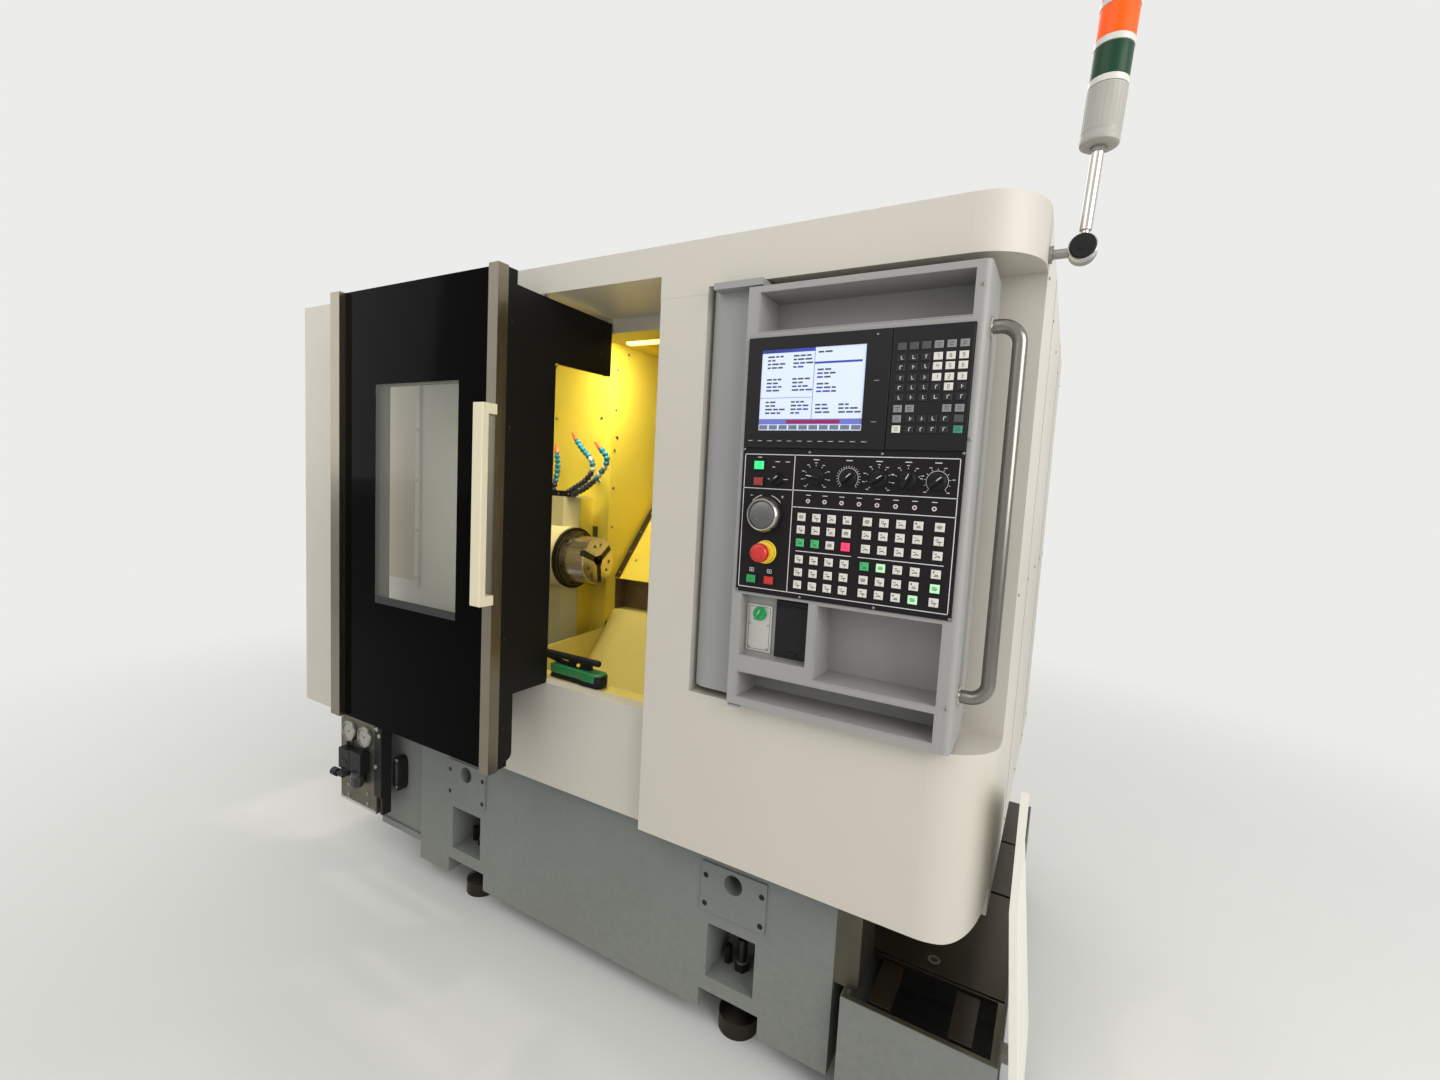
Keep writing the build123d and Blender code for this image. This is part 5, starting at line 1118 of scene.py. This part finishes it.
# %% Segmented hoses
HOSE_Y = 495.0
HOSES = (
    ((-372, 1284), (-352, 1294), (-331, 1306), (-309, 1318), (-288, 1331), (-271, 1347), (-258, 1366),
     (-256, 1388), (-268, 1408), (-286, 1424), (-304, 1439), (-322, 1456), (-336, 1474)),
    ((-352, 1278), (-328, 1284), (-304, 1296), (-281, 1309), (-258, 1324), (-237, 1341), (-219, 1360),
     (-202, 1380), (-192, 1402), (-200, 1423), (-219, 1438), (-233, 1456)),
    ((-440, 1286), (-436, 1309), (-428, 1332), (-423, 1356), (-421, 1380), (-424, 1404), (-428, 1428)),
)
CUP_PITCH = 17.6
CURVE_STEPS = 12
CUP = [(6.2, 0.0), (8.4, 0.8), (10.4, 3.6), (10.6, 9.0), (9.6, 11.6), (7.6, 13.4), (6.6, 15.4), (7.6, 17.2),
       (7.4, 19.6), (5.4, 21.4)]
NOZZLE = [(6.6, 0.0), (9.4, 1.0), (9.8, 6.0), (8.6, 9.0), (6.4, 20.0), (5.0, 30.0), (5.0, 33.6), (3.4, 33.8),
          (3.4, 26.0)]
INLET = [(9.0, 0.0), (9.0, 9.0), (11.0, 10.0), (11.0, 14.0), (8.0, 15.0)]
NAVY, SEA, WHITE, ORANGE, BLOCK, STEEL = range(6)


def along(points, pitch):
    """Points at equal steps on the smooth curve through the given ones."""
    line = [Vector((x, HOSE_Y, z)) for x, z in points]
    line = [2 * line[0] - line[1]] + line + [2 * line[-1] - line[-2]]
    fine = []
    for index in range(1, len(line) - 2):
        a, b, c, d = line[index - 1:index + 3]
        for t in (step / CURVE_STEPS for step in range(CURVE_STEPS)):
            bend = (2 * a - 5 * b + 4 * c - d) * t ** 2 + (3 * b - a - 3 * c + d) * t ** 3
            fine.append(0.5 * (2 * b + (c - a) * t + bend))
    fine.append(line[-2])
    marks = [fine[0]]
    left = pitch
    for one, other in zip(fine[:-1], fine[1:]):
        reach = (other - one).length
        while reach >= left:
            one = one.lerp(other, left / reach)
            reach = (other - one).length
            marks.append(one)
            left = pitch
        left -= reach
    return marks


def cup_colour(number, index, part):
    """The two long hoses change colour on their way; the short one is teal but for its first cups."""
    if number == 2:
        return SEA if index > 1 else NAVY
    if part < 0.45:
        return NAVY
    return WHITE if part < 0.75 and index % 2 == 0 else SEA


bm = bmesh.new()
for number, route in enumerate(HOSES):
    marks = along(route, CUP_PITCH)
    total = len(marks) - 1
    for index in range(total):
        slot = cup_colour(number, index, index / total)
        add_turned(bm, marks[index], marks[index + 1] - marks[index], CUP, 20, slot)
    add_turned(bm, marks[-1], marks[-1] - marks[-2], NOZZLE, 20, ORANGE)
    first = marks[1] - marks[0]
    add_turned(bm, marks[0] - first * 0.6, first, INLET, 6, ORANGE)
    print("hose", number + 1, "has", total, "cups")
add_box(bm, (-460.0, 481.0, 1270.0), (-342.0, 509.0, 1290.0), BLOCK)
add_screws(bm, product((-448.0, -400.0, -352.0), [481.0], [1280.0]), TO_OPERATOR, 3.6, STEEL, BLOCK)
add_box(bm, (-344.0, 486.0, 1270.4), (-341.6, 504.0, 1284.0), ORANGE)
hose_navy = plastic("hose_navy", (44, 50, 66), 0.4)
hose_teal = plastic("hose_teal", (30, 132, 150), 0.35)
hose_white = plastic("hose_white", (206, 208, 196), 0.35)
# The orange fittings glow faintly though they are no lamp: painted light.
hose_orange_painted_glow = plastic("hose_orange_painted_glow", (240, 104, 40), 0.35, 0.05)
materials = [hose_navy, hose_teal, hose_white, hose_orange_painted_glow, soft_black, plain_steel]
settle("cup_hoses", bm, materials, "machine", ["coolant_hoses"], smooth=40.0)

# %% [markdown]
# The wash gun lies on the ledge behind the sill. Its moulded green body tapers to the inlet, black
# grips wrap its ends, and a tube with the trigger lever runs along the top.

# %% Wash gun
gun_green = plastic("gun_green", (30, 122, 66), 0.4)
shell = [(-30.0, 88.0), (20.0, 84.0), (80.0, 82.0), (98.0, 76.5), (140.0, 75.5), (152.0, 79.0), (158.0, 88.0),
         (158.0, 108.0), (152.0, 117.0), (140.0, 120.5), (60.0, 120.5), (-30.0, 110.0)]
grip = [(139.0, 75.1), (154.0, 78.0), (159.6, 88.0), (159.6, 108.0), (154.0, 118.4), (139.0, 120.9)]
bm = bmesh.new()
add_prism(bm, "Z", shell, 788.0, 814.6, 0)
add_prism(bm, "Z", shell, 775.2, 787.4, 1)
add_prism(bm, "Z", grip, 778.0, 811.0, 1)
settle("spray_gun", bm, [gun_green, soft_black], "machine", ["wash_gun"], bevel=4.0, segments=3)

TUBE_Y, TUBE_Z = 102.0, 838.0
tube = [(6.0, 0.0), (8.8, 2.0), (8.8, 200.0), (9.0, 201.0), (9.0, 222.0), (7.4, 227.0), (0.0, 228.0)]
pin = [(5.5, -2.0), (5.5, 2.0), (4.2, 4.4), (2.0, 5.6), (0.0, 5.8)]
bm = bmesh.new()
add_turned(bm, (-89.5, TUBE_Y, TUBE_Z), TO_RIGHT, tube, 28, 1)
add_bar(bm, (112.0, TUBE_Y, TUBE_Z), (132.0, TUBE_Y, TUBE_Z), 9.1, 8, 2)
add_box(bm, (32.0, 94.4, 812.0), (108.0, 109.6, TUBE_Z), 1)
add_prism(bm, "Y", [(-60.0, 826.0), (28.0, 812.0), (40.0, 818.0), (-50.0, 834.0)], 96.0, 108.0, 1)
add_turned(bm, (70.0, 93.6, 824.0), TO_OPERATOR, pin, 20, 3)
settle("spray_gun_tube", bm, [gun_green, soft_black, dark_steel, safety_yellow], "machine")

# %% [markdown]
# Inside the guard, sheets are fixed by screws with round heads, the covered way has an edge strip of
# dark stainless, and a bright strip lamp hangs under the ceiling. The lamp's face glows, and an area
# lamp just below it throws that light, because a glowing face alone lights a room only noisily.

# %% Inside the guard
WALL_SCREWS = ((605.0, 1733.0), (605.0, 1591.0), (616.0, 1494.0), (605.0, 1447.0), (605.0, 1309.0),
               (606.0, 1165.0), (666.0, 1799.0), (604.0, 1020.0))
bm = bmesh.new()
add_screws(bm, [(-253.0, y, z) for y, z in WALL_SCREWS], TO_RIGHT, 5.0)
add_screws(bm, product((-700.0, -520.0, -300.0), [585.0], (1330.0, 1560.0, 1790.0)), TO_OPERATOR, 5.0)
settle("guard_screws", bm, [plain_steel, soft_black], "machine")

SLANT = math.radians(50.0)
SLOPE_FOOT = Vector((0.0, 640.0, 972.0))
SLOPE_RISE = Vector((0.0, math.cos(SLANT), math.sin(SLANT)))
SLOPE_OUT = Vector((0.0, -math.sin(SLANT), math.cos(SLANT)))


def on_slope(x, along_slope, above):
    """A point on the slanted cover: along it from its foot, and above its face."""
    return Vector((x, 0.0, 0.0)) + SLOPE_FOOT + SLOPE_RISE * along_slope + SLOPE_OUT * above


def slope_box(bm, low, high):
    """A box square to the slanted cover: x, distance along it and height above it."""
    ends = ((low[1], low[2]), (high[1], low[2]), (high[1], high[2]), (low[1], high[2]))
    skin(bm, [[bm.verts.new(on_slope(x, s, n)) for s, n in ends] for x in (low[0], high[0])])


strip_steel = metal("strip_stainless", (96, 90, 76), 0.24, (900.0, 20.0, 900.0), 0.4)
bm = bmesh.new()
slope_box(bm, (-252.9, 0.1, 7.9), (-228.1, 419.9, 8.7))
places = [on_slope(-240.0, s, 8.7) for s in (22.0, 118.0, 214.0, 310.0, 400.0)]
places += [on_slope(-200.0, s, 3.0) for s in (86.0, 257.0)]
add_screws(bm, places, SLOPE_OUT, 4.0, 1, 2)
slope_box(bm, (-60.3, 1.0, 0.2), (-58.8, 419.0, 3.4))
settle("way_strip", bm, [strip_steel, plain_steel, soft_black], "machine")

# The narrow plate at the guard's edge is brown stainless; the long sheet over the chute's back wall is
# painted shade, a dark sheet standing for the shade in the gap.
stainless_and_shade_brown = paint("brown_stainless_and_shade", (128, 112, 88), 0.35, 0.4, 0.1, 300.0, metallic=0.3)
bm = bmesh.new()
add_box(bm, (-252.4, 640.6, 856.0), (-251.0, 698.0, 971.0))
add_screws(bm, [(-251.0, 652.0, 894.0)], TO_RIGHT, 4.0, 1, 2)
# Painted shade: this sheet darkens the chute's back wall to stand for the shade in the gap.
add_box(bm, (-250.8, 697.6, 856.0), (759.0, 699.4, 990.0))
add_screws(bm, [(-190.0, 697.6, 930.0), (60.0, 697.6, 930.0)], TO_OPERATOR, 5.0, 1, 2)
settle("gap_plate_and_shade_lining", bm, [stainless_and_shade_brown, plain_steel, soft_black], "machine")

lamp_glow = plastic("lamp_diffuser", (255, 226, 138), 0.4, 2.2, 0.03)
trough = [(540.0, 1827.0), (546.0, 1805.0), (570.0, 1805.0), (580.0, 1827.0)]
bm = bmesh.new()
for low_x, high_x, slot in ((-168.0, 348.0, 0), (-170.0, -168.0, 1), (348.0, 350.0, 1)):
    add_prism(bm, "X", trough, low_x, high_x, slot)
settle("strip_lamp", bm, [lamp_glow, soft_black], "machine", ["work_light"])

beam_white = paint("beam_white", (214, 210, 196), 0.42, 0.08, 0.2, 700.0)
bm = bmesh.new()
add_box(bm, (-299.0, 254.5, 1760.2), (759.0, 254.95, 1799.6))
settle("beam_face", bm, [beam_white], "machine")

# %% [markdown]
# Spindle parts are bare ground steel. The nose flange carries a ring of socket screws, and the
# headstock cap has its own on a darker ring. Each ring is one group laid out round the spindle.

# %% Rings of screws on spindle and headstock
SPINDLE_Y, SPINDLE_Z = 491.0, 1052.0


def spindle_screws(bm, x, count, radius, first, head):
    """A ring of screws round the spindle's axis."""
    places = [(x, SPINDLE_Y + y, SPINDLE_Z + z) for y, z in around(count, radius, first)]
    add_screws(bm, places, TO_RIGHT, head)


bm = bmesh.new()
spindle_screws(bm, -305.0, 6, 90.0, 12, 4.6)
settle("flange_screws", bm, [dark_steel, soft_black], "spindle_unit")

bm = bmesh.new()
spindle_screws(bm, -317.7, 8, 103.2, 22.5, 3.6)
add_ring(bm, (-329.6, SPINDLE_Y, SPINDLE_Z), TO_RIGHT, 98.6, 108.25, 11.9, 72)
settle("cap_screws", bm, [dark_steel, soft_black], "machine")

# %% [markdown]
# The air unit is a stack of black regulators under two pressure gauges. A gauge is a steel rim, a
# pale dial with a scale of fine strokes and a needle, and the strokes are again turned marks.

# %% Gauges
GAUGE_Z = 440.0
DIAL_Y = -8.0
DIAL_TICKS = 24
RIM, DIAL, SCALE, NEEDLE = range(1, 5)
gauge_rim = [(34.0, 0.0), (35.0, 1.0), (35.0, 9.0), (33.6, 11.0), (30.6, 11.4), (30.0, 8.4), (30.0, 0.0)]
bm = bmesh.new()


def dial_mark(x, turn, reach, width, height, y, slot, rise):
    """A stroke on a gauge's dial, at that angle and distance from its centre."""
    angle = math.radians(turn)
    place = (x + reach * math.cos(angle), GAUGE_Z + reach * math.sin(angle))
    add_mark(bm, *place, width, height, y, slot, turn, rise)


for x, swing in ((-854.0, 205.0), (-766.0, 160.0)):
    add_turned(bm, (x, -0.2, GAUGE_Z), TO_OPERATOR, gauge_rim, 48, RIM, True)
    add_turned(bm, (x, 0.0, GAUGE_Z), TO_OPERATOR, [(30.0, 5.0), (30.0, 8.0), (0.0, 8.0)], 48, DIAL)
    for tick in range(DIAL_TICKS + 1):
        reach, width, height = (24.0, 6.0, 1.1) if tick % 6 == 0 else (25.4, 3.4, 0.6)
        dial_mark(x, 225.0 - 270.0 * tick / DIAL_TICKS, reach, width, height, DIAL_Y, SCALE, 0.15)
    dial_mark(x, swing, 8.0, 28.0, 1.3, DIAL_Y - 0.2, NEEDLE, 0.3)
    add_turned(bm, (x, DIAL_Y, GAUGE_Z), TO_OPERATOR, [(3.4, 0.0), (3.4, 0.9), (0.0, 1.1)], 16, SCALE)
gauge_pale = plastic("gauge_pale", (150, 152, 140), 0.3)
settle("air_gauges", bm, [soft_black, plain_steel, gauge_pale, print_dark, stop_red], "machine")

# %% [markdown]
# The regulators are boxes with rounded edges over turned knobs, and one filter bowl hangs below.
# They take the place of the CAD block that stood for them. A black post with bolts runs between the
# plate and the base.

# %% Air service unit
bm = bmesh.new()
add_box(bm, (-874.0, -31.0, 318.0), (-812.0, -0.2, 388.0))
add_box(bm, (-810.0, -31.0, 322.0), (-748.0, -0.2, 392.0))
add_box(bm, (-816.0, -26.0, 330.0), (-806.0, -4.0, 380.0))
add_box(bm, (-862.0, -33.6, 342.0), (-826.0, -30.8, 352.0), 2)
settle("air_blocks", bm, [soft_black, plain_steel, dark_steel], "machine", bevel=3.0, segments=3)


def add_ribs(bm, x, y, top, length, count, reach, radius, steps):
    """Upright ribs round a hanging knob or bowl."""
    for dx, dy in around(count, reach):
        add_bar(bm, (x + dx, y + dy, top), (x + dx, y + dy, top - length), radius, steps)


bowl = [(20.0, 0.0), (20.0, 8.0), (18.6, 9.0), (18.6, 12.0), (20.4, 14.0), (20.4, 44.0), (17.0, 52.0),
        (8.0, 56.0), (0.0, 56.4)]
knob = [(16.0, 0.0), (17.4, 1.5), (17.4, 22.0), (15.4, 26.0), (6.0, 27.6), (0.0, 27.8)]
inlet = [(11.0, 0.0), (13.4, 1.0), (13.4, 28.0), (9.0, 30.0), (9.0, 62.0)]
stud = [(6.4, -1.0), (6.4, 3.0), (5.0, 4.4), (0.0, 4.8)]
bm = bmesh.new()
add_turned(bm, (-779.0, -21.0, 326.0), DOWN, bowl, 40, 1)
add_ribs(bm, -779.0, -21.0, 310.0, 28.0, 8, 20.2, 1.0, 6)
add_turned(bm, (-843.0, -21.0, 322.0), DOWN, knob, 32)
add_ribs(bm, -843.0, -21.0, 318.0, 18.0, 18, 17.2, 0.7, 5)
add_turned(bm, (-932.0, -16.0, 283.0), TO_RIGHT, inlet, 32)
add_bar(bm, (-872.0, -16.0, 283.0), (-858.0, -18.0, 318.0), 9.0)
for x, low in ((-854.0, 386.0), (-766.0, 390.0)):
    add_bar(bm, (x, -9.0, low), (x, -9.0, 405.0), 6.0)
oval = [(-669.0 + 20.6 * math.copysign(abs(x) ** 0.6, x), 320.0 + 57.6 * math.copysign(abs(z) ** 0.6, z))
        for x, z in around(24, 1.0)]
add_prism(bm, "Y", oval, 46.0, 73.9)
add_box(bm, (-673.0, 42.0, 284.0), (-665.0, 46.4, 356.0), 2)
for z in (274.0, 366.0):
    add_turned(bm, (-669.0, 46.0, z), TO_OPERATOR, stud, 24, 2)
bowl_grey = plastic("bowl_grey", (40, 42, 44), 0.3)
settle("air_regulators", bm, [soft_black, bowl_grey, plain_steel], "machine", ["air_service_unit"])

bm = bmesh.new()
add_box(bm, (-718.0, -1.6, 250.0), (-680.0, 34.0, 491.0))
add_box(bm, (-692.0, 4.0, 190.0), (-680.0, 34.0, 250.0))
for x, z in ((-700.0, 482.0), (-688.0, 462.0), (-706.0, 353.0)):
    add_turned(bm, (x, -1.6, z), TO_OPERATOR, [(7.6, 0.0), (7.6, 3.6), (6.4, 5.0), (0.0, 5.4)], 6, 1)
settle("air_post", bm, [soft_black, plain_steel], "machine")

bm = bmesh.new()
add_screws(bm, product((-900.0, -719.0), [0.0], (200.0, 478.0)), TO_OPERATOR, 4.0)
add_screws(bm, product((-864.0, -754.0), [0.0], (209.0, 244.0)), TO_OPERATOR, 6.0)
add_box(bm, (-912.0, -1.4, 188.2), (-707.0, 0.2, 197.0), 2)
settle("air_plate_screws", bm, [plain_steel, soft_black, rail_chrome], "machine")

# %% [markdown]
# On the cast base each foot station has tapped holes round the transport bore. Each hole is a black disc set
# just proud of the paint, painted shade for its dark inside, and a thread ring round it makes it read as a
# tapped hole from any distance.

# %% Tapped holes and collars on the base
STATIONS = (-336.0, 602.0)
PAD_Y = 56.0
bm = bmesh.new()
for station in STATIONS:
    for offset, z in product((-74.0, 74.0), (407.0, 336.0)):
        shaded_hole = (station + offset, PAD_Y, z)
        # A black disc just proud of the paint: painted shade for the inside of the hole.
        add_turned(bm, shaded_hole, TO_OPERATOR, [(7.0, 0.0), (7.0, 0.25), (0.0, 0.25)], 24)
        add_ring(bm, shaded_hole, TO_OPERATOR, 7.0, 8.0, 0.35, 24, 1)
    add_ring(bm, (station, PAD_Y, 407.0), TO_OPERATOR, 24.0, 26.0, 0.4, 40, 1)
settle("tapped_holes", bm, [soft_black, base_green], "machine")

bm = bmesh.new()
for place in product(STATIONS, (130.0, 1250.0), [170.0]):
    add_turned(bm, place, UP, [(17.0, 0.0), (17.0, 2.6), (15.0, 3.6), (12.4, 3.6)], 24)
settle("foot_washers", bm, [plain_steel], "machine")

# %% [markdown]
# The tank is open at the front, where two baffle boxes stand in it, and covered by sheet lids
# further back. Screws hold the outer covers of the enclosure to each other; they and the seams keep
# the plain end walls of the machine from looking like one block.

# %% Tank lids and cover screws
LID_LEFT, LID_RIGHT, LID_TOP = 883.2, 1181.8, 281.6
TANK_LIPS = ((882.0, 1183.0, 30.4, 42.0), (882.0, 890.0, 42.0, 200.0), (1170.0, 1183.0, 42.0, 200.0))
bm = bmesh.new()
for low_y, high_y in ((210.0, 590.0), (600.0, 880.0), (890.0, 1176.0)):
    add_box(bm, (LID_LEFT, low_y, LID_TOP - 2.0), (LID_RIGHT, high_y, LID_TOP))
    add_ring(bm, (1030.0, low_y + 40.0, LID_TOP), UP, 8.0, 14.0, 1.2, 24, 1)
for y in (36.0, 200.0):
    add_box(bm, (LID_LEFT, y, 272.0), (LID_RIGHT, y + 4.0, LID_TOP))
for x0, x1, y0, y1 in TANK_LIPS:
    add_box(bm, (x0, y0, 282.4), (x1, y1, 284.2), 2)
for x in (930.0, 1090.0):
    add_box(bm, (x, 60.0, 262.0), (x + 46.0, 196.0, 276.0))
lid_steel = metal("lid_stainless", (92, 86, 78), 0.38, (900.0, 12.0, 900.0), 0.6)
settle("tank_lids", bm, [lid_steel, plain_steel, worn_plate], "tank", bevel=0.4)

END_WALL = 1133.0
bm = bmesh.new()
for y, z in product((200.0, 520.0, 860.0, 1180.0, 1440.0), (530.0, 1150.0, 1770.0)):
    add_screws(bm, [(END_WALL, y, z)], TO_RIGHT, 3.4)
    behind_drive_cover = 380.0 < y < 1120.0 and 700.0 < z < 1440.0
    if not behind_drive_cover:
        add_screws(bm, [(-END_WALL, y, z)], TO_LEFT, 3.4)
settle("cover_screws", bm, [plain_steel, soft_black], "machine")

bm = bmesh.new()
for y in (520.0, 1180.0):
    add_box(bm, (END_WALL - 0.1, y - 1.0, 500.0), (END_WALL + 0.4, y + 1.0, 1866.0))
settle("sheet_seams", bm, [dark_steel], "machine")

# %% [markdown]
# The camera stands where the photo was taken: near the pendant, a little over one metre from the
# front, with a wide lens. Its position and its three axes come from the lines of the machine.

# %% Camera
ACROSS = (0.8683, 0.4931, 0.0535)
UPWARD = (-0.0895, 0.0496, 0.9947)
BACKWARD = (0.4878, -0.8686, 0.0872)
camera_data = bpy.data.cameras.new("photo_camera")
camera = bpy.data.objects.new("photo_camera", camera_data)
bpy.context.scene.collection.objects.link(camera)
turned = Matrix((ACROSS, UPWARD, BACKWARD)).transposed().to_4x4()
camera.matrix_world = Matrix.Translation(shop(1206, -1171, 1337)) @ turned
camera_data.sensor_width = 36.0
camera_data.lens = 15.38
camera_data.clip_start = 0.02
camera_data.clip_end = 100.0
bpy.context.scene.camera = camera
print("camera at", [round(v, 3) for v in camera.location])

# %% [markdown]
# A machine hall is lit by rows of lamps overhead, which a studio copies with large soft lamps: one
# above the front, one from each side and one behind. A small lamp lights the space inside the guard.
# The world fills the shadows. Background white comes only from what the camera, glass and polished
# metal see of the world, never from brighter lamps.

# %% Floor, lamps and world
floor_bm = bmesh.new()
bmesh.ops.create_grid(floor_bm, x_segments=1, y_segments=1, size=30.0)
floor_mesh = bpy.data.meshes.new("studio_floor")
floor_bm.to_mesh(floor_mesh)
floor_bm.free()
floor = bpy.data.objects.new("studio_floor", floor_mesh)
bpy.context.scene.collection.objects.link(floor)
floor_paint = paint("studio_floor", (214, 214, 211), 0.6, 0.03, 0.02, 40.0)
floor_mesh.materials.append(floor_paint)
BACKDROP = tint(236, 236, 234)


def soft_lamp(name, place, target, size, power, colour=(1.0, 1.0, 1.0)):
    """An area lamp that points at a target, both in shop millimetres; its size is in metres."""
    data = bpy.data.lights.new(name, "AREA")
    data.shape = "RECTANGLE"
    data.size, data.size_y = size
    data.energy = power
    data.color = colour
    lamp = bpy.data.objects.new(name, data)
    bpy.context.scene.collection.objects.link(lamp)
    lamp.location = shop(*place)
    lamp.rotation_euler = (shop(*target) - shop(*place)).to_track_quat("-Z", "Y").to_euler()


soft_lamp("key_over_front", (-900, -2600, 3900), (0, 200, 900), (3.0, 3.0), 38.0, (1.0, 0.98, 0.94))
soft_lamp("fill_right", (4000, -1300, 2400), (300, 200, 900), (2.5, 2.5), 95.0, (1.0, 0.99, 0.97))
soft_lamp("fill_left", (-3800, -1200, 2400), (-300, 200, 900), (2.5, 2.5), 20.0)
soft_lamp("back_top", (0, 3600, 3600), (0, 600, 1200), (3.0, 3.0), 40.0)
soft_lamp("strip_light", (-160, 350, 1795), (-370, 480, 900), (0.4, 0.03), 9.2, (1.0, 0.94, 0.76))

world = bpy.data.worlds.new("studio_world")
bpy.context.scene.world = world
world.use_nodes = True
world_tree = world.node_tree
world_tree.nodes.clear()
fill = add_node(world_tree, "Background", {"Color": (1.0, 1.0, 1.0, 1), "Strength": 0.74})
shown = add_node(world_tree, "Background", {"Color": BACKDROP, "Strength": 1.0})
ray = add_node(world_tree, "LightPath").outputs
seen = maths(world_tree, "MAXIMUM", ray["Is Camera Ray"], ray["Is Transmission Ray"])
seen = maths(world_tree, "MAXIMUM", seen, ray["Is Glossy Ray"])
mixed = add_node(world_tree, "MixShader", {"Fac": seen, 1: fill.outputs[0], 2: shown.outputs[0]})
add_node(world_tree, "OutputWorld", {"Surface": mixed.outputs[0]})
bpy.context.scene.view_settings.view_transform = "Standard"
bpy.context.scene.cycles.caustics_reflective = False
print("floor, five lamps and the world")

# %% [markdown]
# A floor that ends at a visible horizon would draw a line behind the machine. Far from the machine
# the floor therefore turns into the colour of the backdrop, for the camera only, while near the
# machine it stays a real floor that takes the shadow.

# %% Floor that fades into the backdrop
FADE_FROM, FADE_TO = 1.9, 4.6
tree = floor_paint.node_tree
place = add_node(tree, "TexCoord").outputs["Object"]
reach = add_node(tree, "VectorMath", {0: place}, operation="LENGTH").outputs["Value"]
fade = spread(tree, reach, FADE_FROM, FADE_TO, interpolation_type="SMOOTHSTEP")
share = maths(tree, "MULTIPLY", fade, add_node(tree, "LightPath").outputs["Is Camera Ray"])
glow = add_node(tree, "Emission", {"Color": BACKDROP}).outputs["Emission"]
surface = tree.nodes["Principled BSDF"].outputs["BSDF"]
mixed = add_node(tree, "MixShader", {"Fac": share, 1: surface, 2: glow})
tree.links.new(mixed.outputs["Shader"], tree.nodes["Material Output"].inputs["Surface"])
print("floor fades between", FADE_FROM, "and", FADE_TO, "m")
